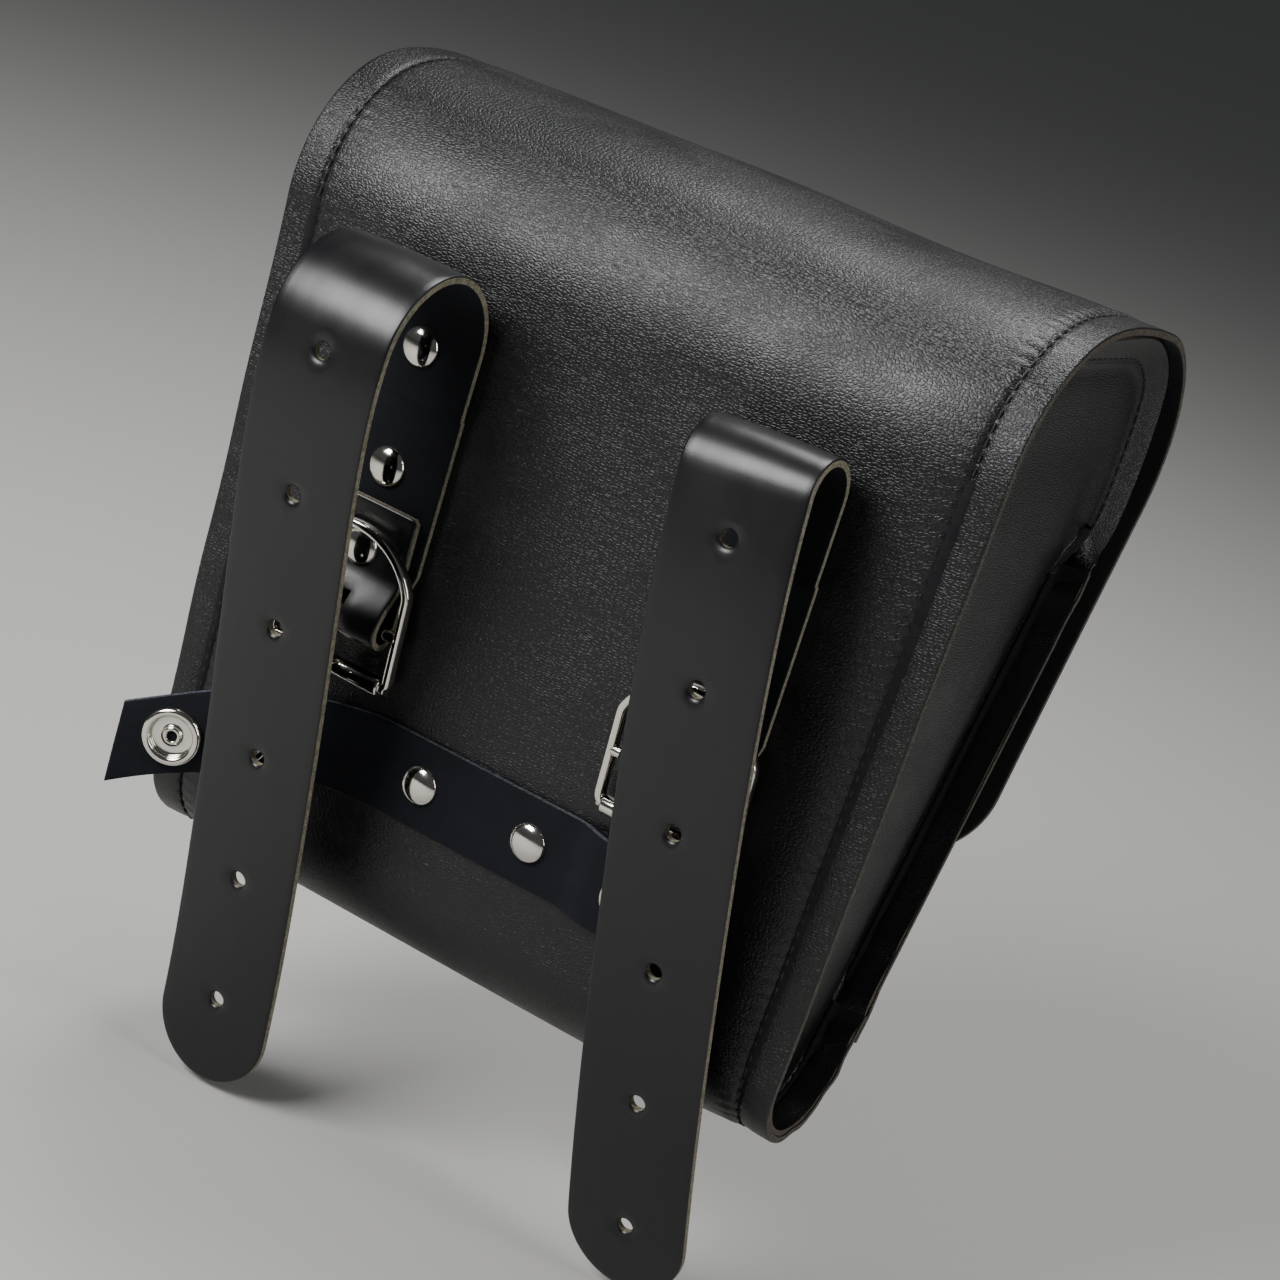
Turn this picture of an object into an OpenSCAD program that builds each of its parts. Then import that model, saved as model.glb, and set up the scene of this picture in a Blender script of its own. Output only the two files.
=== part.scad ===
// Saddlebag: a small wedge-shaped bag that hangs from a tube by two buckled straps and a snap band.
// X runs across the bag, +Y points from the back panel into the bag, +Z is up.
// The origin is the centre of the back panel's outer face.

/* [Bag] */
// Width across the sewn edges at the lid fold
top_w = 195; // [170:1:240]
// Width across the sewn edges at the bottom fold
bottom_w = 185; // [165:1:240]
// Height of the back, from the bottom fold to the lid fold
back_h = 168; // [160:1:205]
// Depth over the round shoulder
depth = 102; // [95:1:125]
// Radius of the bottom fold
fold_r = 21; // [17:0.5:25]
// Lean of the front panel from upright, in degrees, for a back 168 mm high
front_lean = 18; // [16:0.5:20]
// Thickness of the covering sheet
sheet_t = 2; // [1.6:0.1:2.4]
// Width of the sewn flange outside the side walls
flange_w = 8; // [6:0.5:11]
// Thickness of the stiffener board inside the back
board_t = 2; // [1.5:0.1:3]

/* [Lid] */
// Radius of the lid's roll at the back
back_roll_r = 36; // [32:0.5:42]
// Radius of the lid's roll at the front
front_roll_r = 34; // [31:0.5:38]
// Gap between the side walls' mouth and the lid
mouth_gap = 0.5; // [0.4:0.1:1]
// Length of the lid's flap below the front roll
flap_l = 100; // [80:1:105]
// Lean of the flap from upright, in degrees, for a back 168 mm high
flap_lean = 22; // [21:0.5:23]
// Radius of the flap's lower corners
flap_corner_r = 22; // [10:1:35]

/* [Mounting straps] */
// Width of a mounting strap
strap_w = 32; // [26:1:38]
// Thickness of a mounting strap
strap_t = 2; // [1.6:0.1:2.2]
// Width of the narrowed end that turns round the buckle
return_w = 27; // [20:1:29]
// Distance of each strap from the bag's middle line
strap_x = 48.5; // [44:0.5:55]
// Radius of the top loops of the left and right straps
loop_r = [20, 10.5]; // [9.5:0.5:22]
// Length that a strap hangs below the loop
tail_drop = 217; // [190:1:230]
// Distance between two buckle holes
hole_pitch = 34.5; // [28:0.5:36]
// Radius of a buckle hole
hole_r = 2; // [1.5:0.1:2.5]
// Sideways lean of the left and right tails, in degrees
tail_lean = [0, 6]; // [-4:0.5:7]

/* [Buckles] */
// Radius of the centre bar
bar_r = 1.6; // [1.2:0.1:1.8]
// Radius of the end roller
roller_r = 2.4; // [2.2:0.1:2.6]
// Thickness of the frame across the rails
rail_w = 2.2; // [1.8:0.1:2.6]
// Depth of the frame from face to face
rail_d = 3; // [2.6:0.1:3.2]
// Distance from the centre bar to the roller
roller_drop = 13.5; // [12.5:0.5:16]
// Distance from the centre bar to the top of the frame
bow_rise = 24; // [22:0.5:27]

/* [Snap band] */
// Width of the band
band_w = 22; // [18:1:24]
// Thickness of the band
band_t = 1.8; // [1.5:0.1:2]
// Distance between the band's two rivets
band_rivet_pitch = 32; // [26:1:36]
// Reach of the band's left end beyond its root
left_reach = 68; // [60:1:74]
// Reach of the band's right end beyond its root
right_reach = 47; // [42:1:52]
// Radius of a ring snap
snap_r = 7.5; // [6:0.1:7.6]
// Distance between the two snaps of one end
snap_pitch = 16.5; // [15.5:0.5:18]

/* [Closures] */
// Width of a lid closure strap
closure_w = 25; // [20:1:30]
// Length of a closure strap beyond the flap's edge
closure_tab = 30; // [26:1:32]

/* [Rivets] */
// Radius of a domed rivet cap
cap_r = 5; // [4:0.1:5.2]
// Height of a rivet cap
cap_h = 2.2; // [1.6:0.1:2.4]
// Radius of a rivet post
post_r = 1.5; // [1.2:0.1:1.8]

/* [Hidden] */
$fn = 64;

fit = 0.1;              // clearance of a post in its punched hole
run_fit = 0.05;         // running clearance of rollers and prongs on their bars
press_gap = 0.1;        // gap left between two riveted layers of one strap
fold_gap = 0.3;         // gap between bodies that meet along a fold
hinge_z = back_h / 2;
// a taller back stands the front and the flap more upright over the same depth
lean_height = 168;
front_tilt = atan(tan(front_lean) * lean_height / back_h);
flap_tilt = atan(tan(flap_lean) * lean_height / back_h);
bottom_cz = -back_h / 2 + fold_r;
roll_c = [depth - front_roll_r, hinge_z];
far = 400;              // longer than any piece, for cutting
top_z = hinge_z - 21;           // height of the top rivet of each mounting strap
rivet_z = [top_z, top_z - 30, top_z - 50];
bar_z = top_z - 67;             // height of the buckles' centre bars
bar_y = -(strap_t + 3);         // distance of the centre bars from the back
buckle_tilt = 5;
return_top = top_z - 38.5;
wrap_r = -bar_y - strap_t / 2;  // radius of the strap's middle layer round the bar
loop_rise = [3, 6.5];           // height of each loop's centre above the top rivet
loop_c = [for (k = [0:1]) [-strap_t / 2 - loop_r[k], top_z + loop_rise[k]]];
loop_top = [for (k = [0:1]) loop_c[k] + [0, loop_r[k]]];
first_hole = [2, 11];           // drop from each loop's centre to its tail's first hole
tail_end = [-9, 6];             // depth at which each tail's tip hangs
band_z = -back_h / 2 + 48;
band_root = band_rivet_pitch / 2 + 8;
left_sweep = 18;        // how far the left end springs off the back
left_droop = 20;        // how far the left end sinks
right_bend = 14;        // run of the S-bend that lifts the right end over its studs
right_slope = 5;        // slope of the right end past the bend, in degrees
right_droop = 4;        // how far the right end sinks
stud_len = 3;           // height of a band stud
stud_clear = 0.5;       // gap between the band studs and the back
bow_half = strap_w / 2 + 0.5 + rail_w;
prong_w = 3;
prong_slot = 2 * prong_w;
// radius that the flap's edge clears as the lid opens
swing_r = roll_c[0] * cos(flap_tilt) + front_roll_r - sheet_t - mouth_gap;
closure_rivet_l = [8, 28];     // runs down the flap to the rivets of a closure strap

// ---- plane geometry of the profile, as [y, z] points ----
function unit(v) = v / norm(v);
function left_of(v) = [-v[1], v[0]];
function arc(c, r, a0, a1, n) = [for (i = [0:n]) let (a = a0 + (a1 - a0) * i / n) c + r * [cos(a), sin(a)]];
function before(p, i) = left_of(unit(p[max(i, 1)] - p[max(i, 1) - 1]));
function after(p, i) = let (n = len(p) - 1) left_of(unit(p[min(i, n - 1) + 1] - p[min(i, n - 1)]));
function side_at(p, i) = let (a = i == 0 ? after(p, 0) : before(p, i), b = i == len(p) - 1 ? a : after(p, i))
    (a + b) / (1 + a * b);
function shift(p, d) = [for (i = [0:len(p) - 1]) p[i] + d * side_at(p, i)];
function flip(p) = [for (i = [len(p) - 1:-1:0]) p[i]];
function bezier(a, b, c, d, n) = [for (i = [0:n]) let (t = i / n, s = 1 - t)
    s * s * s * a + 3 * s * s * t * b + 3 * s * t * t * c + t * t * t * d];

front_dir = [sin(front_tilt), cos(front_tilt)];
front_out = [cos(front_tilt), -sin(front_tilt)];
front_foot = [fold_r, bottom_cz] + fold_r * front_out;
foot_from_roll = front_foot - roll_c;
mouth_r = front_roll_r - sheet_t - mouth_gap;
mouth_b = foot_from_roll * front_dir;
front_l = -mouth_b - sqrt(mouth_b * mouth_b - foot_from_roll * foot_from_roll + mouth_r * mouth_r);
mouth = front_foot + front_l * front_dir;
seam_l = 14;            // height of the front seam above the bottom fold
// outer face of the sheet, down the back, round the bottom fold and up the front
under_path = concat([[0, hinge_z]], arc([fold_r, bottom_cz], fold_r, 180, 360 - front_tilt, 20),
    [front_foot + seam_l * front_dir]);
front_path = [front_foot + seam_l * front_dir, mouth];
body_path = concat([[0, hinge_z]], arc([fold_r, bottom_cz], fold_r, 180, 360 - front_tilt, 20), [mouth]);

flap_dir = [-sin(flap_tilt), -cos(flap_tilt)];
flap_out = [cos(flap_tilt), -sin(flap_tilt)];
flap_top = roll_c + front_roll_r * flap_out;
flap_edge = flap_top + flap_l * flap_dir;
lid_path = concat(arc([back_roll_r, hinge_z + fold_gap], back_roll_r, 180, 90, 12),
    arc(roll_c, front_roll_r, 90, -flap_tilt, 14), [flap_edge]);
mouth_angle = atan2(mouth[1] - roll_c[1], mouth[0] - roll_c[0]);
gusset_outline = concat(shift(body_path, sheet_t), arc(roll_c, mouth_r, mouth_angle, 90, 16),
    arc([back_roll_r, hinge_z], back_roll_r - sheet_t - mouth_gap, 90, 180, 12));

stud_h = 3;             // height of the closure studs' heads
socket_h = 3.2;         // height of the closure sockets
stud_base = 0.8;        // thickness of the closure studs' bases
stack_h = stud_base + 0.2 + socket_h;
// distance along the front line from the foot to the flap's edge
edge_l = (flap_edge - front_foot) * front_dir;
stud_l = edge_l - 17;
tab_start = front_foot + (edge_l - 7) * front_dir + stack_h * front_out;
tab_end = front_foot + (edge_l - closure_tab) * front_dir + stack_h * front_out;
closure_path = concat(arc(roll_c, front_roll_r, 45 - flap_tilt / 2, -flap_tilt, 7),
    [flap_edge + flap_dir, tab_start, tab_end]);

// middle layer of a mounting strap: return end, turn round the bar, up the back and over the loop
function ease(t) = (1 - cos(180 * t)) / 2;
return_y = -1.5 * strap_t - press_gap;
ease_top = bar_z + 14;
function strap_path(k) = concat([[return_y, return_top]],
    [for (i = [0:8]) [return_y + (bar_y - wrap_r - return_y) * ease(i / 8),
        ease_top + (bar_z - ease_top) * i / 8]],
    arc([bar_y, bar_z], wrap_r, 200, 360, 10),
    arc(loop_c[k], loop_r[k], 0, 90 - asin((strap_t / 2 + fold_gap) / loop_r[k]), 10));
// middle layer of each tail: the loop's outer half and the hanging curve
function rest(p) = [for (i = [1:len(p) - 1]) p[i]];
tail_low = [for (k = [0:1]) [tail_end[k], loop_top[0][1] - tail_drop]];
tail_pull = [[-14, -45], [-20, -35]];
tail_path = [for (k = [0:1]) let (side = loop_c[k] - [loop_r[k], 0])
    concat(arc(loop_c[k], loop_r[k], 90, 180, 8),
        rest(bezier(side, side - [4, 34], tail_pull[k], tail_low[k], 16)))];

// ---- building helpers ----
module across(w, x = 0) translate([x - w / 2, 0, 0]) rotate([90, 0, 90]) linear_extrude(w) children();
module through() translate([0, far / 2, 0]) rotate([90, 0, 0]) linear_extrude(far) children();
module ribbon(p, d) polygon(concat(p, flip(shift(p, d))));
module band_strip(p, t) polygon(concat(shift(p, t / 2), flip(shift(p, -t / 2))));
function half_w(z) = (bottom_w + (top_w - bottom_w) * (z + hinge_z) / back_h) / 2;
// the bag's tapered outline seen from behind, drawn in by the given amount
module outline(inset) polygon([
    [-half_w(-hinge_z) + inset, -hinge_z - 1], [half_w(-hinge_z) - inset, -hinge_z - 1],
    [half_w(hinge_z) - inset, hinge_z], [half_w(hinge_z) - inset, hinge_z + 60],
    [-half_w(hinge_z) + inset, hinge_z + 60], [-half_w(hinge_z) + inset, hinge_z]]);
// places a piece that points out of the back panel, out of the front panel or out of the flap
module on_back(x, z, off = 0) translate([x, -off, z]) rotate([90, 0, 0]) children();
module on_front(x, l, off = 0) {
    p = front_foot + l * front_dir + off * front_out;
    translate([x, p[0], p[1]]) rotate([-90 - front_tilt, 0, 0]) children();
}
module on_flap(x, l, off = 0) {
    p = flap_top + l * flap_dir + off * flap_out;
    translate([x, p[0], p[1]]) rotate([-90 - flap_tilt, 0, 0]) children();
}
// centre line of the band's free ends seen from above, running outwards; side is -1 left, 1 right
function reach(side) = side < 0 ? left_reach : right_reach;
function droop(side, x) = (side < 0 ? left_droop : right_droop) * pow(x / reach(side), 2);
left_bend = 2 * atan(left_sweep / left_reach);
left_r = left_reach / sin(left_bend);
right_lift = [right_bend, -stud_len - stud_clear];
right_tip = right_lift + (right_reach - right_bend) * [1, -tan(right_slope)];
function band_line(side) = side < 0
    ? arc([0, -left_r], left_r, 90, 90 - left_bend, 10)
    : concat(bezier([0, 0], [right_bend / 2, 0],
        right_lift - right_bend / 2 * [1, -tan(right_slope)], right_lift, 8), [right_tip]);
// places a piece on the band's free ends, at the given run from the root
module on_band(side, x, off = 0) {
    p = band_line(side);
    i = max([for (j = [0:len(p) - 2]) p[j][0] <= x ? j : 0]);
    d = unit(p[i + 1] - p[i]);
    c = p[i] + (x - p[i][0]) / d[0] * d;
    translate([side * (band_root + x), c[1] - band_t / 2, band_z - droop(side, x)])
        rotate([0, 0, side * atan2(d[1], d[0])])
            translate([0, -off, 0]) rotate([90, 0, 0]) children();
}

// ---- hardware ----
module dome(r, h) rotate_extrude() intersection() {
    translate([0, h - (r * r + h * h) / (2 * h)]) circle((r * r + h * h) / (2 * h), $fn = 96);
    square([r, h]);
}
module rivet(stack) {
    dome(cap_r, cap_h);
    translate([0, 0, -stack]) cylinder(r = post_r, h = stack + 0.4);
}
module rivet_back() mirror([0, 0, 1]) dome(cap_r - 0.5, 1.3);
module punch(r) translate([0, 0, -30]) cylinder(r = r, h = 60);
// a hole through one sheet or strap only
module pierce(r) translate([0, 0, -6]) cylinder(r = r, h = 12);
module ring_socket() rotate_extrude() polygon([[1.5, 0], [snap_r, 0], [snap_r, 1.7], [snap_r - 0.7, 2.5],
    [snap_r - 1.5, 2.5], [snap_r - 2.1, 2], [snap_r - 2.1, 0.7], [2.6, 0.7], [2.6, 1.3], [1.5, 1.3]]);
module snap_stud() {
    cylinder(r = snap_r - 1, h = 0.8);
    cylinder(r = snap_r - 2.7, h = stud_len);
}
module tube(r_in, r_out, h) difference() {
    cylinder(r = r_out, h = h);
    translate([0, 0, -1]) cylinder(r = r_in, h = h + 2);
}

// ---- bag ----
module back_holes() {
    for (s = [-1, 1], z = rivet_z) on_back(s * strap_x, z) punch(post_r + fit);
    for (s = [-1, 1]) on_back(s * band_rivet_pitch / 2, band_z) punch(post_r + fit);
}

module back_panel() color("#17181a") difference() {
    intersection() {
        across(far) ribbon(under_path, sheet_t);
        through() outline(0);
    }
    intersection() {
        back_holes();
        translate([-far / 2, -10, -far / 2]) cube([far, 20, far]);
    }
}

module front_panel() color("#17181a") difference() {
    intersection() {
        across(far) ribbon(front_path, sheet_t);
        through() outline(0);
    }
    for (s = [-1, 1]) on_front(s * strap_x, stud_l) pierce(post_r + fit);
}

// side wall with its sewn flange turned outwards; side is -1 left, 1 right
module gusset(side) color("#1b1c1e") intersection() {
    union() {
        intersection() {
            across(far) intersection() {
                polygon(gusset_outline);
                union() {
                    translate([0, hinge_z]) circle(swing_r, $fn = 192);
                    translate([-far / 2, mouth[1] - far]) square(far);
                }
            }
            through() difference() {
                outline(flange_w);
                outline(flange_w + sheet_t);
            }
        }
        intersection() {
            across(far) ribbon(shift(body_path, sheet_t), sheet_t);
            through() difference() {
                outline(0);
                outline(flange_w);
            }
        }
    }
    translate([side * far / 2, 0, 0]) cube(far, center = true);
}
module left_gusset() gusset(-1);
module right_gusset() gusset(1);

module back_board() color("#3a2f26") difference() {
    intersection() {
        across(far) translate([sheet_t, bottom_cz]) square([board_t, hinge_z - bottom_cz - 2]);
        through() outline(flange_w + sheet_t + 1);
    }
    back_holes();
}

// mounting strap up to the top of its loop; only the layer against the bag and the loop are full width
module strap(side) color("#101216") difference() {
    path = strap_path((side + 1) / 2);
    union() {
        intersection() {
            across(strap_w, side * strap_x) band_strip(path, strap_t);
            union() {
                translate([-far / 2, -strap_t, bar_z + 9]) cube(far);
                translate([-far / 2, -far / 2, return_top]) cube(far);
            }
        }
        across(return_w, side * strap_x) band_strip(path, strap_t);
    }
    for (z = rivet_z) on_back(side * strap_x, z) {
        punch(post_r + fit);
        // seat pressed by the rivet's cap
        translate([0, 0, z == rivet_z[2] ? 2 * strap_t + press_gap : strap_t])
            cylinder(r = cap_r + fit, h = cap_h);
    }
    // slot for the prong's eye
    translate([side * strap_x - prong_slot / 2, bar_y - wrap_r - 3, bar_z - wrap_r - 3])
        cube([prong_slot, 2 * wrap_r + 2, 2 * wrap_r + 6]);
}
module left_strap() strap(-1);
module right_strap() strap(1);

module strap_rivets(side) color("#d8dadd") {
    two_layers = 2 * strap_t + press_gap;
    for (i = [0, 1]) on_back(side * strap_x, rivet_z[i], strap_t) rivet(strap_t + sheet_t + board_t);
    on_back(side * strap_x, rivet_z[2], two_layers) rivet(two_layers + sheet_t + board_t);
}
module left_strap_rivets() strap_rivets(-1);
module right_strap_rivets() strap_rivets(1);

module band_middle() color("#151a26") difference() {
    translate([-band_root + fold_gap + band_t / 2, -band_t, band_z - band_w / 2])
        cube([2 * band_root - band_t - 2 * fold_gap, band_t, band_w]);
    for (s = [-1, 1]) on_back(s * band_rivet_pitch / 2, band_z) punch(post_r + fit);
}

module band_rivets() color("#d8dadd")
    for (s = [-1, 1]) on_back(s * band_rivet_pitch / 2, band_z, band_t) rivet(band_t + sheet_t + board_t);

module inner_rivet_caps() color("#b9bcc0") {
    for (s = [-1, 1], z = rivet_z) on_back(s * strap_x, z, -sheet_t - board_t) rivet_back();
    for (s = [-1, 1]) on_back(s * band_rivet_pitch / 2, band_z, -sheet_t - board_t) rivet_back();
}

module closure_studs() color("#d8dadd") for (s = [-1, 1]) on_front(s * strap_x, stud_l) {
    cylinder(r = 5, h = stud_base);
    cylinder(r = 1.8, h = stud_base + stud_h);
    translate([0, 0, -sheet_t]) cylinder(r = post_r, h = sheet_t + 0.2);
    translate([0, 0, -sheet_t - 0.8]) cylinder(r = 5, h = 0.8);
}

// ---- lid ----
module flap_outline() union() {
    low = flap_edge[1];
    hw = half_w(hinge_z);
    translate([-hw, low + flap_corner_r]) square([2 * hw, far]);
    translate([-hw + flap_corner_r, low - 5]) square([2 * (hw - flap_corner_r), far]);
    for (s = [-1, 1]) translate([s * (hw - flap_corner_r), low + flap_corner_r]) circle(flap_corner_r);
}

module lid() color("#17181a") difference() {
    intersection() {
        across(far) ribbon(lid_path, -sheet_t);
        through() flap_outline();
    }
    for (s = [-1, 1], l = closure_rivet_l) on_flap(s * strap_x, l) pierce(post_r + fit);
}

module closure_strap(side) color("#141518") difference() {
    intersection() {
        across(closure_w, side * strap_x) ribbon(closure_path, strap_t);
        through() translate([side * strap_x, tab_end[1] + closure_w / 2]) union() {
            circle(closure_w / 2);
            translate([-closure_w / 2, 0]) square([closure_w, far]);
        }
    }
    for (l = closure_rivet_l) on_flap(side * strap_x, l) pierce(post_r + fit);
    on_front(side * strap_x, stud_l, stack_h) pierce(2.4 + fit);
}
module left_closure_strap() closure_strap(-1);
module right_closure_strap() closure_strap(1);

module closure_rivets() color("#d8dadd")
    for (s = [-1, 1], l = closure_rivet_l) on_flap(s * strap_x, l, strap_t) rivet(strap_t + sheet_t);

module closure_rivet_backs() color("#b9bcc0")
    for (s = [-1, 1], l = closure_rivet_l) on_flap(s * strap_x, l, -sheet_t) rivet_back();

module closure_sockets() color("#c9ccd0")
    for (s = [-1, 1]) on_front(s * strap_x, stud_l, stack_h - socket_h) tube(2.1, 6, socket_h);

module closure_snap_caps() color("#d8dadd")
    for (s = [-1, 1]) on_front(s * strap_x, stud_l, stack_h + strap_t) {
        dome(7, 2);
        translate([0, 0, -strap_t]) tube(2, 2.4, strap_t + 0.3);
    }

// ---- strap tails ----
module tail(k) {
    side = 2 * k - 1;
    top = loop_top[k];
    tip_z = tail_low[k][1] + strap_w / 2;
    color("#101114") translate([side * strap_x, top[0], top[1]]) rotate([0, -tail_lean[k], 0])
        translate([0, -top[0], -top[1]]) difference() {
            intersection() {
                union() {
                    across(strap_w) band_strip(tail_path[k], strap_t);
                    across(strap_w) translate(top) circle(strap_t / 2);
                }
                through() union() {
                    translate([0, tip_z]) circle(strap_w / 2);
                    translate([-strap_w / 2, tip_z]) square([strap_w, far]);
                }
            }
            for (i = [0:5]) tail_hole(k, loop_c[k][1] - first_hole[k] - i * hole_pitch);
        }
}
// one punched hole through a tail, at the given height and square to it
module tail_hole(k, z) {
    p = tail_path[k];
    i = max([for (j = [0:len(p) - 2]) p[j][1] >= z ? j : 0]);
    t = (p[i][1] - z) / (p[i][1] - p[i + 1][1]);
    c = p[i] + t * (p[i + 1] - p[i]);
    d = unit(p[i + 1] - p[i]);
    translate([0, c[0], c[1]]) rotate([90 + atan2(d[0], -d[1]), 0, 0])
        translate([0, 0, -2 * strap_t]) cylinder(r = hole_r, h = 4 * strap_t);
}
module left_strap_tail() tail(0);
module right_strap_tail() tail(1);

// ---- buckles ----
module at_bar(side) translate([side * strap_x, bar_y, bar_z]) rotate([buckle_tilt, 0, 0]) children();
// frame outline seen from behind, with the centre bar at the origin
module bow(grow) intersection() {
    translate([0, bow_rise - 20]) circle(20 + grow, $fn = 96);
    translate([-bow_half - grow, -roller_drop - 1.5]) square([2 * (bow_half + grow), far]);
}
module buckle(side) color("#cfd2d6") at_bar(side) {
    rotate([90, 0, 0]) linear_extrude(rail_d, center = true) difference() {
        union() {
            bow(0);
            translate([-bow_half, -roller_drop - 1.5]) square([2 * bow_half, roller_drop + 5]);
        }
        bow(-rail_w);
        translate([-bow_half + rail_w, -roller_drop - 5]) square([2 * (bow_half - rail_w), roller_drop + 8]);
    }
    for (z = [0, -roller_drop]) translate([-bow_half + 0.5, 0, z]) rotate([0, 90, 0])
        cylinder(r = z == 0 ? bar_r : 1.4, h = 2 * bow_half - 1);
}
module left_buckle() buckle(-1);
module right_buckle() buckle(1);

module roller(side) color("#dfe1e4") at_bar(side) translate([-bow_half + rail_w + 0.3, 0, -roller_drop])
    rotate([0, 90, 0]) tube(1.4 + run_fit, roller_r, 2 * (bow_half - rail_w) - 0.6);
module left_roller() roller(-1);
module right_roller() roller(1);

// prong: an eye on the centre bar and a tongue that rests over the roller
module prong(side) color("#cfd2d6") at_bar(side) difference() {
    union() {
        translate([-prong_w / 2, 0, 0]) rotate([0, 90, 0]) cylinder(r = bar_r + 1.4, h = prong_w);
        translate([-prong_w / 2, 0, 0]) rotate([90, 0, 90]) linear_extrude(prong_w)
            polygon([[-0.5, 2.4], [-bar_r - 1.4, 0], [-roller_r - 2.3, -roller_drop + 2.5],
                [-roller_r - 2.3, -roller_drop - 3], [-roller_r - 0.4, -roller_drop - 3],
                [-roller_r - 0.4, -roller_drop + 1.5], [-bar_r, -4]]);
    }
    translate([-5, 0, 0]) rotate([0, 90, 0]) cylinder(r = bar_r + run_fit, h = 10);
}
module left_prong() prong(-1);
module right_prong() prong(1);

// ---- snap band ----
// strip of the band's free end: bent as seen from above, cut to a drooping outline
module band_end(side) {
    run = band_line(side);
    steps = [for (i = [-1:10]) i / 10 * reach(side)];
    color("#151a26") difference() {
        mirror([side < 0 ? 1 : 0, 0, 0]) intersection() {
            translate([band_root, -band_t / 2, -far / 2]) linear_extrude(far)
                polygon(concat(shift(run, band_t / 2), flip(shift(run, -band_t / 2)),
                    [for (i = [1:7]) band_t / 2 * [cos(-90 - 22.5 * i), sin(-90 - 22.5 * i)]]));
            translate([band_root, 0, band_z]) through() polygon(concat(
                [for (x = steps) [x, band_w / 2 - droop(side, x)]],
                [for (x = flip(steps)) [x, -band_w / 2 - droop(side, x)]]));
        }
        for (x = snap_x(side)) {
            on_band(side, x) punch(1.5 + fit);
            on_band(side, x, band_t / 2) cylinder(r = snap_r + fit, h = band_t);
            on_band(side, x, -band_t / 2) mirror([0, 0, 1]) cylinder(r = snap_r + fit, h = band_t);
        }
    }
}
// runs from the root to the two snaps of each end
function snap_x(side) = let (last = reach(side) - (side < 0 ? 12 : 10)) [last, last - snap_pitch];
module band_left_end() band_end(-1);
module band_right_end() band_end(1);

module band_sockets() color("#d8dadd") for (x = snap_x(-1)) on_band(-1, x, band_t / 2) ring_socket();

module band_socket_caps() color("#d8dadd") for (x = snap_x(-1)) on_band(-1, x, -band_t / 2) {
    mirror([0, 0, 1]) dome(snap_r - 1, 1.8);
    translate([0, 0, -0.3]) tube(0.9, 1.5, band_t + 1.2);
}

module band_studs() color("#d8dadd")
    for (x = snap_x(1)) on_band(1, x, -band_t / 2) mirror([0, 0, 1]) snap_stud();

module band_stud_eyelets() color("#d8dadd") for (x = snap_x(1)) on_band(1, x, band_t / 2) {
    tube(0.9, snap_r - 2, 0.8);
    translate([0, 0, -band_t]) tube(0.9, 1.5, band_t + 0.2);
}

back_panel();
front_panel();
left_gusset();
right_gusset();
back_board();
left_strap();
right_strap();
left_strap_rivets();
right_strap_rivets();
band_middle();
band_rivets();
inner_rivet_caps();
closure_studs();
lid();
left_closure_strap();
right_closure_strap();
closure_rivets();
closure_rivet_backs();
closure_sockets();
closure_snap_caps();
left_strap_tail();
right_strap_tail();
left_buckle();
right_buckle();
left_roller();
right_roller();
left_prong();
right_prong();
band_left_end();
band_sockets();
band_socket_caps();
band_right_end();
band_studs();
band_stud_eyelets();
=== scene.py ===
# %% [markdown]
# # A small motorcycle saddlebag
# The bag is sewn from one long sheet of embossed leatherette that runs up the back, over the top
# and down the front as a lid. Two side walls close it, two buckled straps and a snap band hang it
# from a tube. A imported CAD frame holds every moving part; this file sews the skins around it.

import math

import bmesh
import bpy
import numpy as np
from mathutils import Matrix, Vector
from mathutils.geometry import delaunay_2d_cdt


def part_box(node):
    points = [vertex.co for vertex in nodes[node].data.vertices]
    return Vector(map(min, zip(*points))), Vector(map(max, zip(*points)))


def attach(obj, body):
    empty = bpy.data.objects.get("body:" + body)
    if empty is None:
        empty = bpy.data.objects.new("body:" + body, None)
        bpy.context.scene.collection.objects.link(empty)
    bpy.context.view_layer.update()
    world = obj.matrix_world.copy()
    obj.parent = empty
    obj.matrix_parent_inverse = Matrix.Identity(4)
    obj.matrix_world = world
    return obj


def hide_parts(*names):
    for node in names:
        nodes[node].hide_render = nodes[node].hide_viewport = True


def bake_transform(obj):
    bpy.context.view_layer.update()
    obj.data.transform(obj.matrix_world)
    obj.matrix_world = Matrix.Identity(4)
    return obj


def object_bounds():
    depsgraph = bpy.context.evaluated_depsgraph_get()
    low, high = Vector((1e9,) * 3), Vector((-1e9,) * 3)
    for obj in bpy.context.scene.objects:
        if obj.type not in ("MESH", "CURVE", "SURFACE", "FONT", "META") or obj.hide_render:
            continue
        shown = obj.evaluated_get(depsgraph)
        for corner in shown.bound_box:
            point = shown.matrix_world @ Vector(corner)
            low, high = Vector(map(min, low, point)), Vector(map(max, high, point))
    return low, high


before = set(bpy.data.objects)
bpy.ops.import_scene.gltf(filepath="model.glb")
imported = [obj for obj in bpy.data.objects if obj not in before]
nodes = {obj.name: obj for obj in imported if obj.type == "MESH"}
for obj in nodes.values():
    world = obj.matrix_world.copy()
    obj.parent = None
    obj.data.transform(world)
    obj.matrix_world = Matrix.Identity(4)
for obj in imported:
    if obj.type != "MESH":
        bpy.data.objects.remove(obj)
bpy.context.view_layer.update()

# %% [markdown]
# ## Finishes
# Every finish starts from the real material. Colours are given as hex values the way a paint
# chart does, and one function turns them into the linear numbers the renderer wants. Patterns are
# sized in millimetres, because grain that is too big makes a bag look like a toy.


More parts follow.
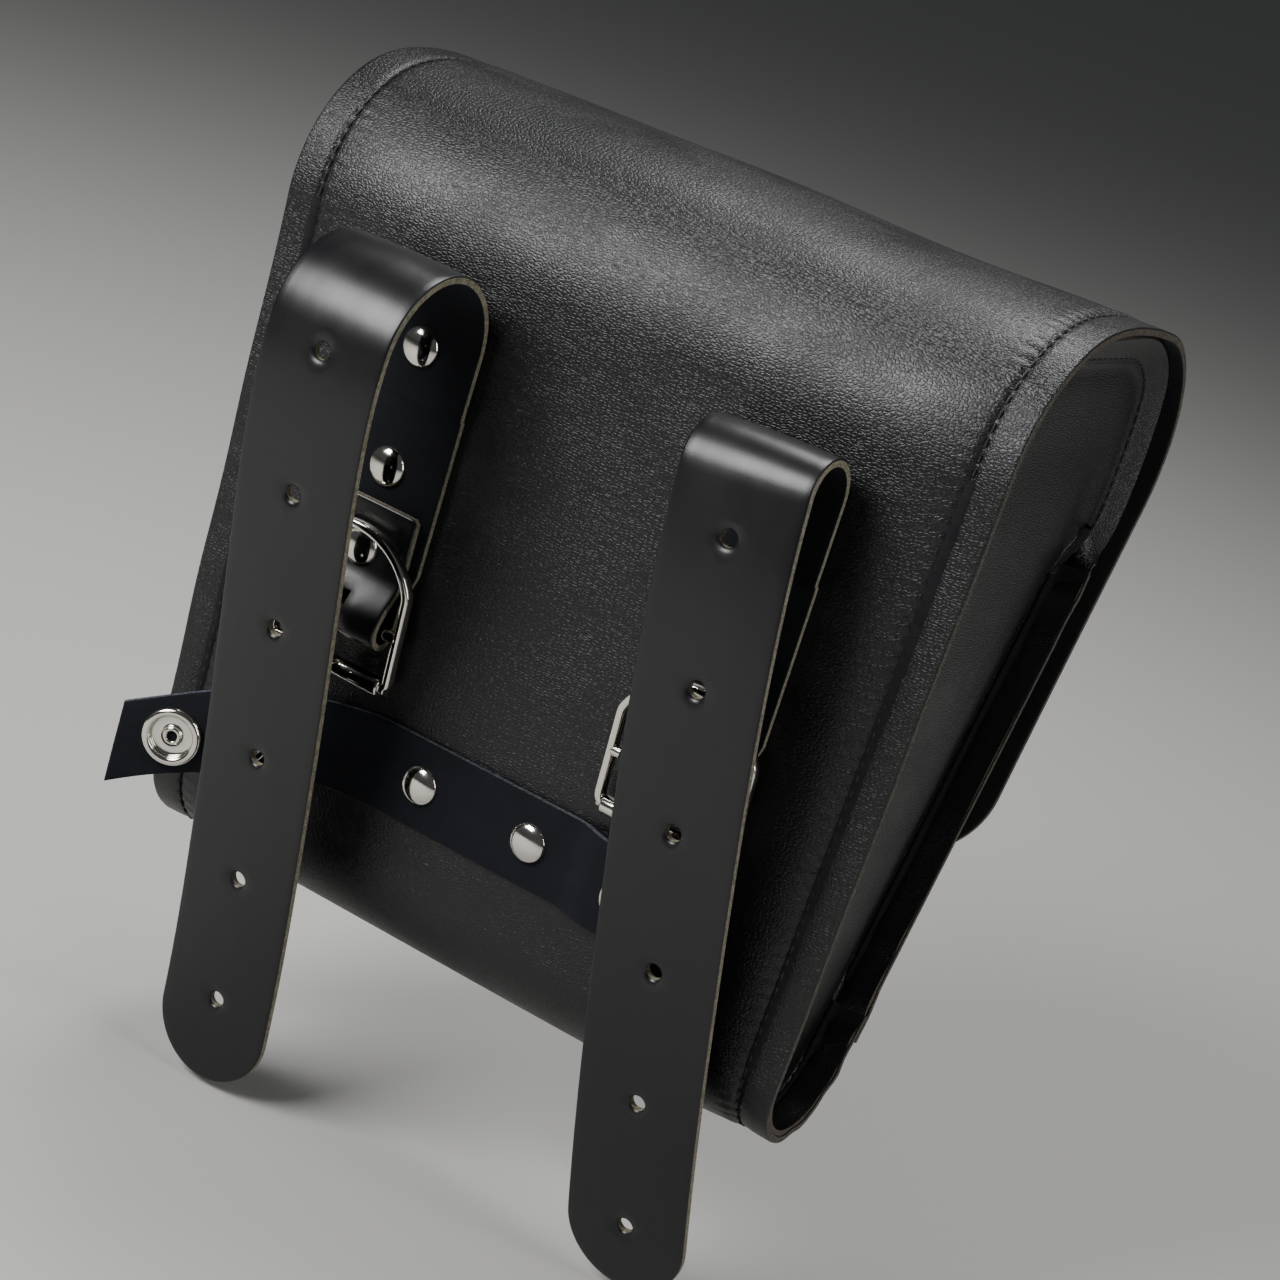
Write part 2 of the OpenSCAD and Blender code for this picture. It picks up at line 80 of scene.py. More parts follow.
# %% Colour and node helpers
def colour(hex_code):
    parts = [int(hex_code[i : i + 2], 16) / 255 for i in (1, 3, 5)]
    return tuple(c / 12.92 if c <= 0.04045 else ((c + 0.055) / 1.055) ** 2.4 for c in parts) + (1.0,)


def add(tree, kind, settings=None, **inputs):
    """A node with its settings and inputs; an input is a value or another node's output."""
    node = tree.nodes.new(kind)
    for key, value in (settings or {}).items():
        setattr(node, key, value)
    for key, value in inputs.items():
        named = key.replace("_", " ")
        socket = next(s for s in node.inputs if s.name == named and s.enabled)
        if isinstance(value, bpy.types.NodeSocket):
            tree.links.new(value, socket)
        else:
            socket.default_value = value
    return node


def new_material(name):
    made = bpy.data.materials.new(name)
    made.use_nodes = True
    tree = made.node_tree
    tree.nodes.clear()
    shader = tree.nodes.new("ShaderNodeBsdfPrincipled")
    out = tree.nodes.new("ShaderNodeOutputMaterial")
    tree.links.new(shader.outputs[0], out.inputs["Surface"])
    return made, tree, shader


def math_node(tree, operation, a, b):
    node = tree.nodes.new("ShaderNodeMath")
    node.operation = operation
    for socket, value in zip(node.inputs, (a, b)):
        if isinstance(value, bpy.types.NodeSocket):
            tree.links.new(value, socket)
        else:
            socket.default_value = value
    return node.outputs[0]


def spread(tree, value, low, high, to_low=0.0, to_high=1.0):
    """Stretches a value from one range to another, smoothly at both ends."""
    node = add(tree, "ShaderNodeMapRange", {"interpolation_type": "SMOOTHSTEP"})
    tree.links.new(value, node.inputs["Value"])
    for key, number in zip(("From Min", "From Max", "To Min", "To Max"), (low, high, to_low, to_high)):
        node.inputs[key].default_value = number
    return node.outputs["Result"]


def pattern_space(tree, source, grain):
    """Coordinates that count in pattern cells: grain is the size of a cell in millimetres."""
    coord = tree.nodes.new("ShaderNodeTexCoord")
    scale = tuple(1000.0 / g for g in grain)
    return add(tree, "ShaderNodeMapping", Vector=coord.outputs[source], Scale=scale).outputs[0]


def bump(tree, shader, height, depth_mm):
    node = add(tree, "ShaderNodeBump", Strength=1.0, Distance=depth_mm / 1000, Height=height)
    tree.links.new(node.outputs[0], shader.inputs["Normal"])


def two_tone(tree, shader, share, dark, light):
    """Base colour between two hex values; share is 0 at the dark one."""
    tone = tree.nodes.new("ShaderNodeMix")
    tone.data_type = "RGBA"
    tree.links.new(share, tone.inputs["Factor"])
    tone.inputs[6].default_value, tone.inputs[7].default_value = colour(dark), colour(light)
    tree.links.new(tone.outputs[2], shader.inputs["Base Color"])


def cloudy(tree, source, grain, detail, roughness):
    """Cloudy noise whose clouds measure grain, in millimetres, along each direction."""
    space = pattern_space(tree, source, grain)
    noise = add(tree, "ShaderNodeTexNoise", Vector=space, Scale=1.0, Detail=detail, Roughness=roughness)
    return noise.outputs["Fac"]


# %% [markdown]
# ### Embossed leatherette
# The sheet is pressed with a small pebble grain: raised cells about a millimetre long, wider than tall, with
# fine valleys between. A Voronoi pattern gives the cells, and its distance to the edge gives the valleys. The
# same distance also paints the valleys darker than the cell tops: painted shade in the grooves. The grain
# lies in the sheet's own flat coordinates, so it bends with it.


# %% Embossed leatherette
def leatherette():
    made, tree, shader = new_material("embossed leatherette")
    flat = pattern_space(tree, "UV", (1.25, 0.75, 1.0))
    wobble = add(tree, "ShaderNodeTexNoise", Vector=flat, Scale=0.55, Detail=2.0, Roughness=0.6)
    push = add(tree, "ShaderNodeVectorMath", {"operation": "SCALE"}, Scale=1.5)
    tree.links.new(wobble.outputs["Color"], push.inputs[0])
    moved = add(tree, "ShaderNodeVectorMath", {"operation": "ADD"})
    tree.links.new(flat, moved.inputs[0])
    tree.links.new(push.outputs[0], moved.inputs[1])
    cells = add(
        tree, "ShaderNodeTexVoronoi", {"feature": "DISTANCE_TO_EDGE", "voronoi_dimensions": "2D"},
        Vector=moved.outputs[0], Scale=1.0, Randomness=0.9,
    )
    pebble_and_valley_shade = spread(tree, cells.outputs["Distance"], 0.0, 0.34)
    fine = add(tree, "ShaderNodeTexNoise", Vector=flat, Scale=2.6, Detail=3.0, Roughness=0.65)
    broad = cloudy(tree, "UV", (26.0, 18.0, 20.0), 3.0, 0.55)
    soft = spread(tree, broad, 0.3, 0.7, 0.65, 1.0)
    height = math_node(tree, "MULTIPLY", pebble_and_valley_shade, soft)
    height = math_node(tree, "ADD", height, math_node(tree, "MULTIPLY", fine.outputs["Fac"], 0.45))
    bump(tree, shader, height, 0.075)
    # Base colour: painted shade, the grain's valleys a little darker than the cell tops.
    two_tone(tree, shader, pebble_and_valley_shade, "#070708", "#101011")
    rough = spread(tree, broad, 0.25, 0.75, 0.36, 0.45)
    tree.links.new(rough, shader.inputs["Roughness"])
    return made


grained = leatherette()

# %% [markdown]
# ### Strap leather
# The straps are cut from a smoother, satin sheet. Its highlight is broad and soft, with only a
# faint pore texture, so most of its look comes from the way the strap is bent.


# %% Strap leather
def strap_leather():
    made, tree, shader = new_material("satin strap leather")
    pores = cloudy(tree, "UV", (0.5, 0.4, 0.5), 3.0, 0.6)
    waves = cloudy(tree, "UV", (14.0, 30.0, 20.0), 2.0, 0.5)
    height = math_node(tree, "ADD", math_node(tree, "MULTIPLY", pores, 0.05), waves)
    bump(tree, shader, height, 0.32)
    shader.inputs["Base Color"].default_value = colour("#0c0c0e")
    rough = spread(tree, waves, 0.3, 0.7, 0.3, 0.37)
    tree.links.new(rough, shader.inputs["Roughness"])
    return made


satin = strap_leather()

# %% [markdown]
# ### Flesh side and felt
# The back of the leather is a dense nap, dyed a blue-black. It scatters light instead of
# reflecting it, so it gets a high roughness, a little sheen, and a bump of short tangled fibres.


# %% Napped backing
def nap(name, dark, light, fibre=0.35):
    made, tree, shader = new_material(name)
    fibres = cloudy(tree, "UV", (fibre * 2.2, fibre, fibre), 5.0, 0.75)
    patches = cloudy(tree, "UV", (9.0, 6.0, 8.0), 4.0, 0.65)
    both = math_node(tree, "ADD", math_node(tree, "MULTIPLY", fibres, 0.6),
                     math_node(tree, "MULTIPLY", patches, 0.5))
    two_tone(tree, shader, spread(tree, both, 0.35, 0.75), dark, light)
    shader.inputs["Roughness"].default_value = 0.92
    shader.inputs["Specular IOR Level"].default_value = 0.25
    shader.inputs["Sheen Weight"].default_value = 0.08
    shader.inputs["Sheen Roughness"].default_value = 0.5
    shader.inputs["Sheen Tint"].default_value = colour("#7d86a0")
    bump(tree, shader, fibres, 0.16)
    return made


flesh = nap("napped flesh side", "#08090c", "#12141a")
felt = nap("band felt", "#07090d", "#10131b", 0.45)
lining = nap("woven lining", "#101012", "#1c1c1f", 0.7)

# %% [markdown]
# ### Cut edges
# A knife leaves the edge of the sheet raw: a khaki layer of fibre and glue between two dark skins.
# On a black bag these thin pale lines draw the outline of every strap.


# %% Raw edges
def raw_edge(name, dark, light):
    made, tree, shader = new_material(name)
    fibres = cloudy(tree, "Object", (0.7, 0.7, 0.7), 4.0, 0.7)
    two_tone(tree, shader, spread(tree, fibres, 0.38, 0.62), dark, light)
    shader.inputs["Roughness"].default_value = 0.85
    bump(tree, shader, fibres, 0.25)
    return made


strap_edge = raw_edge("strap cut edge", "#5a5647", "#8a8570")
sheet_edge = raw_edge("sheet cut edge", "#2b2722", "#544c40")
felt_edge = raw_edge("felt cut edge", "#1b1f28", "#5d6068")

# %% [markdown]
# ### Nickel, thread and board
# The hardware is bright nickel plate over steel: a metal with a warm white tint, a nearly mirror
# finish and faint handling marks. The thread is waxed black polyester. The stiffener is brown
# fibre board.


# %% Hard finishes
def nickel():
    made, tree, shader = new_material("bright nickel plate")
    marks = cloudy(tree, "Object", (2.5, 2.5, 2.5), 5.0, 0.7)
    shader.inputs["Base Color"].default_value = colour("#dcd8cf")
    shader.inputs["Metallic"].default_value = 1.0
    rough = spread(tree, marks, 0.3, 0.75, 0.07, 0.19)
    tree.links.new(rough, shader.inputs["Roughness"])
    bump(tree, shader, marks, 0.012)
    return made


def thread():
    made, tree, shader = new_material("waxed black thread")
    twist = add(
        tree, "ShaderNodeTexWave", {"bands_direction": "DIAGONAL"},
        Vector=pattern_space(tree, "Object", (0.8, 0.8, 0.8)), Scale=1.0, Distortion=0.6,
    )
    shader.inputs["Base Color"].default_value = colour("#101011")
    shader.inputs["Roughness"].default_value = 0.42
    bump(tree, shader, twist.outputs["Fac"], 0.08)
    return made


def fibre_board():
    made, tree, shader = new_material("brown fibre board")
    flecks = cloudy(tree, "Object", (1.6, 1.6, 1.6), 5.0, 0.75)
    two_tone(tree, shader, spread(tree, flecks, 0.35, 0.7), "#3a2d22", "#59483a")
    shader.inputs["Roughness"].default_value = 0.8
    bump(tree, shader, flecks, 0.1)
    return made


chrome, waxed, board = nickel(), thread(), fibre_board()
print("finishes:", len(bpy.data.materials))

# %% [markdown]
# ## Walking along a line
# Nearly every piece here is a flat pattern piece that is bent along a line: the profile of the
# bag, the fold of a strap, the sweep of the band. `Run` stores such a line as close points and
# answers where you are after a given length, and which way the left-hand side points.


# %% Runs and arcs
class Run:
    def __init__(self, points, step=0.4):
        p = np.array(points, float)
        p = p[np.r_[True, np.linalg.norm(np.diff(p, axis=0), axis=1) > 1e-6]]
        far = np.r_[0, np.cumsum(np.linalg.norm(np.diff(p, axis=0), axis=1))]
        self.length = far[-1]
        self.s = np.linspace(0, self.length, max(3, int(self.length / step) + 1))
        self.p = np.stack([np.interp(self.s, far, p[:, k]) for k in (0, 1)], 1)

    def soften(self, width):
        """Rounds the corners over about the given width, ends kept."""
        step = self.s[1]
        for _ in range(int(2 * (width / step / 2) ** 2)):
            self.p[1:-1] = (self.p[:-2] + 2 * self.p[1:-1] + self.p[2:]) / 4
        return Run(self.p)

    def at(self, s):
        s = np.clip(s, 0, self.length)
        return np.stack([np.interp(s, self.s, self.p[:, k]) for k in (0, 1)], -1)

    def left(self, s):
        s = np.clip(s, 0, self.length)
        t = np.gradient(self.p, self.s, axis=0)
        t = np.stack([np.interp(s, self.s, t[:, k]) for k in (0, 1)], -1)
        t /= np.linalg.norm(t, axis=-1, keepdims=True)
        return np.stack([-t[..., 1], t[..., 0]], -1)

    def find(self, point):
        return float(self.s[np.argmin(np.linalg.norm(self.p - np.array(point), axis=1))])


def arc(centre, radius, start, end, n=48):
    a = np.radians(np.linspace(start, end, n))
    return np.array(centre) + radius * np.stack([np.cos(a), np.sin(a)], 1)


def bezier(a, b, c, d, n=40):
    t = np.linspace(0, 1, n)[:, None]
    a, b, c, d = (np.array(v, float) for v in (a, b, c, d))
    return (1 - t) ** 3 * a + 3 * (1 - t) ** 2 * t * b + 3 * (1 - t) * t**2 * c + t**3 * d


def smooth(x):
    x = np.clip(x, 0, 1)
    return x * x * (3 - 2 * x)


# %% [markdown]
# ## From flat pattern to bent sheet
# `bent_sheet` takes a flat mesh, a rule that places a flat point in space, and a thickness. It
# makes the show side, the back side and the cut edge between them, each with its own finish. The
# show side is rolled down a little at its edge, as a knife-cut sheet is.


# %% From points to a finished mesh
MM = 0.001
WORD = {-1: "left", 1: "right"}


def put_in_scene(name, data):
    obj = bpy.data.objects.new(name, data)
    bpy.context.scene.collection.objects.link(obj)
    return obj


def finish_mesh(name, verts, faces, slots, materials, uvs=None, body=None):
    """A smooth mesh from points in mm; an edge between two finishes stays sharp."""
    mesh = bpy.data.meshes.new(name)
    mesh.from_pydata([tuple(v) for v in np.array(verts) * MM], [], faces)
    for m in materials:
        mesh.materials.append(m)
    mesh.polygons.foreach_set("material_index", slots)
    if uvs is not None:
        layer = mesh.uv_layers.new(name="flat")
        index = np.zeros(len(mesh.loops), int)
        mesh.loops.foreach_get("vertex_index", index)
        layer.data.foreach_set("uv", (np.array(uvs)[index] * MM).astype(np.float32).ravel())
    bm = bmesh.new()
    bm.from_mesh(mesh)
    bmesh.ops.recalc_face_normals(bm, faces=bm.faces)
    for f in bm.faces:
        f.smooth = True
    for e in bm.edges:
        e.smooth = len({f.material_index for f in e.link_faces}) < 2
    bm.to_mesh(mesh)
    bm.free()
    obj = put_in_scene(name, mesh)
    if body:
        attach(obj, body)
    return obj


# %% [markdown]
# An edge of the flat mesh that only one face uses is a cut edge. The distance of each point from
# the nearest cut tells how much the knife has rolled the sheet there.


# %% Cut edges, and the bent sheet
def rim_of(faces):
    edges = {edge: True for f in faces for edge in zip(f, f[1:] + f[:1])}
    return [(a, b) for a, b in edges if (b, a) not in edges]


def edge_distance(flat, rim):
    """Distance of each flat point from the cut edge, out to a few millimetres."""
    a, b = flat[[e[0] for e in rim]], flat[[e[1] for e in rim]]
    best = np.full(len(flat), 1e9)
    ab = b - a
    lengths = np.maximum((ab**2).sum(1), 1e-12)
    for k in range(0, len(flat), 2000):
        ap = flat[k : k + 2000, None, :] - a[None]
        t = np.clip((ap * ab).sum(2) / lengths, 0, 1)
        gap = np.linalg.norm(ap - t[..., None] * ab, axis=2).min(1)
        best[k : k + 2000] = gap
    return best


def bent_sheet(name, flat, faces, place, thick, materials, body=None, edge=0.35, skip_rim=None):
    """place(u, v, w) -> points, w out from the show side; edges that skip_rim picks stay open."""
    flat = np.array(flat, float)
    cut = [e for e in rim_of(faces) if not (skip_rim and skip_rim(flat[e[0]]) and skip_rim(flat[e[1]]))]
    roll = edge * (1 - np.clip(edge_distance(flat, cut) / edge, 0, 1)) ** 2
    top = place(flat[:, 0], flat[:, 1], -roll)
    low = place(flat[:, 0], flat[:, 1], -thick + 0.5 * roll)
    n = len(flat)
    walls = [(a + n, b + n, b, a) for a, b in cut]
    every = faces + [tuple(i + n for i in reversed(f)) for f in faces] + walls
    slots = [0] * len(faces) + [2] * len(faces) + [1] * len(walls)
    return finish_mesh(
        name, np.concatenate([top, low]), every, slots, materials, np.concatenate([flat, flat]), body)


# %% [markdown]
# Straps and bands are cut with punched holes in them. `cut_piece` lays a regular grid inside an
# outline, adds close rings of points along each cut, and lets a Delaunay triangulation join them.


# %% Cut a flat piece
def inside(points, loop):
    x, y = points[:, 0], points[:, 1]
    hit = np.zeros(len(points), bool)
    for (x0, y0), (x1, y1) in zip(loop, np.roll(loop, -1, axis=0)):
        crosses = (y0 > y) != (y1 > y)
        with np.errstate(divide="ignore", invalid="ignore"):
            hit ^= crosses & (x < (x1 - x0) * (y - y0) / (y1 - y0) + x0)
    return hit


def even_loop(loop, step):
    loop = np.array(loop, float)
    closed = np.concatenate([loop, loop[:1]])
    out = []
    for a, b in zip(closed[:-1], closed[1:]):
        n = max(1, int(round(np.linalg.norm(b - a) / step)))
        out += [a + (b - a) * i / n for i in range(n)]
    return np.array(out)


def inner_ring(loop, inset):
    ahead, behind = np.roll(loop, -1, axis=0) - loop, loop - np.roll(loop, 1, axis=0)
    ahead /= np.linalg.norm(ahead, axis=1, keepdims=True)
    behind /= np.linalg.norm(behind, axis=1, keepdims=True)
    t = ahead + behind
    t /= np.linalg.norm(t, axis=1, keepdims=True)
    return loop + inset * np.stack([-t[:, 1], t[:, 0]], 1)


# %% [markdown]
# The grid keeps clear of the outline and of every hole, where the rings give even, narrow faces.


# %% Flat piece with punched holes
def cut_piece(outline, step, holes=(), rings=(0.18, 0.5)):
    """A flat mesh with points step mm apart; outline runs anticlockwise, holes are (x, y, radius)."""
    loop = even_loop(outline, step * 0.7)
    points, edges = list(loop), [(i, (i + 1) % len(loop)) for i in range(len(loop))]
    for r in rings:
        points += list(inner_ring(loop, r))
    for x, y, radius in holes:
        first = len(points)
        around = np.radians(np.arange(0, 360, 15))
        circle = np.stack([np.cos(around), np.sin(around)], 1)
        for grow in (0.0, *rings, 1.3):
            points += list(np.array([x, y]) + (radius + grow) * circle)
        edges += [(first + i, first + (i + 1) % 24) for i in range(24)]
    lo, hi = loop.min(0), loop.max(0)
    nx, ny = (max(2, int((hi[k] - lo[k]) / step)) for k in (0, 1))
    gx, gy = np.meshgrid(np.linspace(lo[0], hi[0], nx), np.linspace(lo[1], hi[1], ny))
    grid = np.stack([gx.ravel(), gy.ravel()], 1)
    grid = grid[inside(grid, loop)]
    gap = np.array([np.min(np.linalg.norm(loop - g, axis=1)) for g in grid])
    grid = grid[gap > max(rings) + step * 0.45]
    for x, y, radius in holes:
        grid = grid[np.linalg.norm(grid - [x, y], axis=1) > radius + 1.3 + step * 0.45]
    points += list(grid)
    verts, _, faces, *_ = delaunay_2d_cdt([Vector(p) for p in points], edges, [], 0, 1e-5)
    flat = np.array([tuple(v) for v in verts])
    centres = np.array([flat[list(f)].mean(0) for f in faces])
    keep = inside(centres, loop)
    for x, y, radius in holes:
        keep &= np.linalg.norm(centres - [x, y], axis=1) > radius * 0.98
    return flat, [tuple(f) for f, k in zip(faces, keep) if k]


# %% [markdown]
# ## Repeating small things
# Stitches, rivet caps and snaps repeat, so each is modelled once and a small Geometry Nodes tree
# puts it on every point, turned by two directions stored on the points. The result is made a plain
# mesh, one for each body it moves with.


# %% Geometry Nodes tree that repeats a shape
def repeat_tree():
    tree = bpy.data.node_groups.new("repeat a small part", "GeometryNodeTree")
    face = tree.interface
    for name, kind in (("Geometry", "Geometry"), ("Shape", "Object"), ("Size", "Float"),
                       ("Uneven", "Float"), ("Finish", "Material")):
        face.new_socket(name, in_out="INPUT", socket_type="NodeSocket" + kind)
    face.new_socket("Geometry", in_out="OUTPUT", socket_type="NodeSocketGeometry")
    start = tree.nodes.new("NodeGroupInput")
    end = tree.nodes.new("NodeGroupOutput")
    link = tree.links.new
    up = add(tree, "GeometryNodeInputNamedAttribute", {"data_type": "FLOAT_VECTOR"}, Name="up")
    along = add(tree, "GeometryNodeInputNamedAttribute", {"data_type": "FLOAT_VECTOR"}, Name="along")
    stand = add(tree, "FunctionNodeAlignRotationToVector", {"axis": "Z"})
    link(up.outputs["Attribute"], stand.inputs["Vector"])
    turn = add(tree, "FunctionNodeAlignRotationToVector", {"axis": "X", "pivot_axis": "Z"})
    link(stand.outputs[0], turn.inputs["Rotation"])
    link(along.outputs["Attribute"], turn.inputs["Vector"])
    shape = tree.nodes.new("GeometryNodeObjectInfo")
    link(start.outputs["Shape"], shape.inputs["Object"])
    chance = add(tree, "FunctionNodeRandomValue", {"data_type": "FLOAT"}, Seed=7)
    low = add(tree, "ShaderNodeMath", {"operation": "SUBTRACT"})
    low.inputs[0].default_value = 1.0
    link(start.outputs["Uneven"], low.inputs[1])
    link(low.outputs[0], chance.inputs[2])
    chance.inputs[3].default_value = 1.0
    size = add(tree, "ShaderNodeMath", {"operation": "MULTIPLY"})
    link(chance.outputs[1], size.inputs[0])
    link(start.outputs["Size"], size.inputs[1])
    put = tree.nodes.new("GeometryNodeInstanceOnPoints")
    link(start.outputs["Geometry"], put.inputs["Points"])
    link(shape.outputs["Geometry"], put.inputs["Instance"])
    link(turn.outputs[0], put.inputs["Rotation"])
    link(size.outputs[0], put.inputs["Scale"])
    real = tree.nodes.new("GeometryNodeRealizeInstances")
    link(put.outputs[0], real.inputs[0])
    painted = tree.nodes.new("GeometryNodeSetMaterial")
    link(real.outputs[0], painted.inputs["Geometry"])
    link(start.outputs["Finish"], painted.inputs["Material"])
    link(painted.outputs[0], end.inputs[0])
    return tree


# %% [markdown]
# The inputs of a modifier are set by the socket's identifier, before the tree is first evaluated.
# Each seed point carries two directions, up and along, which stand one copy upright and turn it.

# %% Repeat a shape on points
repeater = repeat_tree()
socket_id = {s.name: s.identifier for s in repeater.interface.items_tree if s.in_out == "INPUT"}


def repeat(name, shape, points, ups, alongs, material, body=None, uneven=0.0):
    """A copy of shape on each point (mm), its Z along up and its X along along."""
    mesh = bpy.data.meshes.new(name + "_points")
    mesh.from_pydata([tuple(p) for p in np.array(points) * MM], [], [])
    for key, values in (("up", ups), ("along", alongs)):
        layer = mesh.attributes.new(key, "FLOAT_VECTOR", "POINT")
        layer.data.foreach_set("vector", np.array(values, np.float32).ravel())
    seeds = put_in_scene(name + "_points", mesh)
    live = seeds.modifiers.new("repeat", "NODES")
    live.node_group = repeater
    for key, value in (("Shape", shape), ("Size", 1.0), ("Uneven", uneven), ("Finish", material)):
        live[socket_id[key]] = value
    graph = bpy.context.evaluated_depsgraph_get()
    plain = bpy.data.meshes.new_from_object(seeds.evaluated_get(graph))
    plain.name = name
    obj = put_in_scene(name, plain)
    bpy.data.objects.remove(seeds)
    for polygon in plain.polygons:
        polygon.use_smooth = True
    if body:
        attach(obj, body)
    return obj


# %% [markdown]
# Caps, rings, studs and eyelets are round, so each is a profile turned about an axis, like wood on
# a lathe. The poles are merged, so every pattern is closed.


# %% Turned shapes
def lathe(name, profile, segments=40):
    """Turns a profile of (radius, height) points in mm round Z; a kept pattern for repeat()."""
    profile = np.array(profile, float)
    verts, faces = [], []
    for r, h in profile:
        for i in range(segments):
            a = 2 * math.pi * i / segments
            verts.append((r * math.cos(a), r * math.sin(a), h))
    rows = len(profile)
    for j in range(rows - 1):
        for i in range(segments):
            k = (i + 1) % segments
            faces.append((j * segments + i, j * segments + k, (j + 1) * segments + k, (j + 1) * segments + i))
    mesh = bpy.data.meshes.new(name)
    mesh.from_pydata([tuple(v) for v in np.array(verts) * MM], [], faces)
    bm = bmesh.new()
    bm.from_mesh(mesh)
    bmesh.ops.remove_doubles(bm, verts=bm.verts, dist=1e-6)
    bmesh.ops.holes_fill(bm, edges=bm.edges)
    bmesh.ops.recalc_face_normals(bm, faces=bm.faces)
    bm.to_mesh(mesh)
    bm.free()
    mesh.shade_smooth()
    return bpy.data.objects.new(name, mesh)


# %% [markdown]
# ## The bag's profile
# Seen from the side, the bag is a wedge: a flat back, a tight fold at the bottom, a leaning front,
# and a big round shoulder that the lid rolls over. The frame has the same profile, so each
# landmark is measured on it.

# %% Landmarks of the profile, in millimetres
back_low, back_high = (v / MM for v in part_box("back_panel"))
lid_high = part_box("lid")[1] / MM
HINGE_Z = round(back_high.z, 2)
FOLD_R, LEAN, FLAP_LEAN = 21.0, 18.0, 22.0
BOTTOM_Z = back_low.z + FOLD_R
BACK_R, FRONT_R = 36.0, 34.0
ROLL = (lid_high.y - FRONT_R, HINGE_Z)
WIDE, FOOT_HALF = lid_high.x, 92.5
front_dir = np.array([math.sin(math.radians(LEAN)), math.cos(math.radians(LEAN))])
front_out = np.array([front_dir[1], -front_dir[0]])
foot = np.array([FOLD_R, BOTTOM_Z]) + FOLD_R * front_out
mouth_r = FRONT_R - 2.5
b = float((foot - ROLL) @ front_dir)
front_l = -b - math.sqrt(b * b - float((foot - ROLL) @ (foot - ROLL)) + mouth_r**2)
mouth = foot + front_l * front_dir
flap_dir = np.array([-math.sin(math.radians(FLAP_LEAN)), -math.cos(math.radians(FLAP_LEAN))])
roll_end = np.array(ROLL) + FRONT_R * np.array([-flap_dir[1], flap_dir[0]])
bow_a = arc((BACK_R, HINGE_Z), BACK_R, 180, 104)
bow_b = arc(ROLL, FRONT_R, 80, -FLAP_LEAN)
t_a = (bow_a[-1] - bow_a[-2]) / np.linalg.norm(bow_a[-1] - bow_a[-2])
t_b = (bow_b[1] - bow_b[0]) / np.linalg.norm(bow_b[1] - bow_b[0])
crown = bezier(bow_a[-1], bow_a[-1] + 14 * t_a, bow_b[0] - 14 * t_b, bow_b[0])
SEAM_UP, FLAP_L = 14.0, 100.0
main = Run(np.concatenate([
    [foot + SEAM_UP * front_dir], arc((FOLD_R, BOTTOM_Z), FOLD_R, -LEAN, -180), [(0, HINGE_Z)],
    bow_a, crown, bow_b, [roll_end + FLAP_L * flap_dir],
]))
v_hinge = main.find((0, HINGE_Z))
print(f"main sheet {main.length:.0f} mm long, mouth at {mouth.round(1)}, width {2 * WIDE:.0f} mm")


def half_width(z):
    return FOOT_HALF + (WIDE - FOOT_HALF) * np.clip((z + HINGE_Z) / (2 * HINGE_Z), 0, 1)


# %% [markdown]
# ## The main sheet
# One sheet, folded round the bottom, up the back and over the top. Two layers are sewn together
# 8.5 mm in from each side edge; the thread pulls a glossy groove, and the sheet swells a little
# next to it. Outside the groove the two layers stand out as a flat flange. The sheet is a grid
# with closely set columns at the groove, so that the puckers are real shape and not only shading.

# %% Relief of the sewn sides
SEAM_IN, STITCH = 8.5, 3.6
EDGE_BAND, CORNER_R = 15.0, 22.0


def ruffle(v):
    """The flange is not ironed flat: it waves where the sheet turns the bottom fold."""
    near_foot = np.exp(-(((v - 22) / 22) ** 2))
    on_back = np.exp(-(((v - 120) / 90) ** 2))
    tight = np.sin(v / 2.4) + 0.5 * np.sin(v / 1.45 + 1)
    return 0.6 * near_foot * tight + 0.35 * on_back * np.sin(v / 9.0 + 1.0)


def sewn_relief(u, v, half, sunk=1.5, groove=0.55):
    d = half - np.abs(u)
    side = np.sign(u)
    settle = smooth((v - v_hinge + 10) / 40)
    drop = sunk * (1 - 0.75 * settle)
    swell = 1 - np.exp(-np.maximum(d - SEAM_IN, 0) / 6.0)
    w = -drop * np.where(d > SEAM_IN, 1 - swell, 1.0 - 0.25 * np.clip((SEAM_IN - d) / 4, 0, 1))
    pull = 0.72 + 0.28 * np.cos(2 * math.pi * v / STITCH)
    deep = groove * (1 + 1.1 * np.exp(-(((v - v_hinge + 22) / 30) ** 2)))
    w -= deep * pull * np.exp(-(((d - SEAM_IN) / 0.85) ** 2))
    w += 0.22 * np.cos(2 * math.pi * v / STITCH + math.pi) * np.exp(-(((d - SEAM_IN - 2.6) / 1.6) ** 2))
    w += ruffle(v + 3 * side) * np.clip((SEAM_IN - d) / SEAM_IN, 0, 1) ** 1.2
    return w


def sheet_softness(u, v):
    """Slow hand-made unevenness that only the highlights show."""
    loose = smooth((v - v_hinge - 5) / 40)
    w = loose * (0.35 * np.sin(u / 21 + v / 37 + 0.6) + 0.25 * np.sin(u / 13 - v / 23 + 2.1))
    return w + 0.06 * np.sin(u / 17 + 1.1) * np.sin(v / 19)


def side_columns(half):
    close = [0, 0.18, 0.5, 1.1, 2.2, 3.6, 5.0, 6.2, 7.0, 7.6,
             8.05, 8.5, 8.95, 9.4, 10.0, 10.8, 11.8, 13.2, EDGE_BAND]
    mid = np.linspace(EDGE_BAND, 2 * half - EDGE_BAND, 78)[1:-1]
    return np.concatenate([close, mid, 2 * half - np.array(close[::-1])]) - half


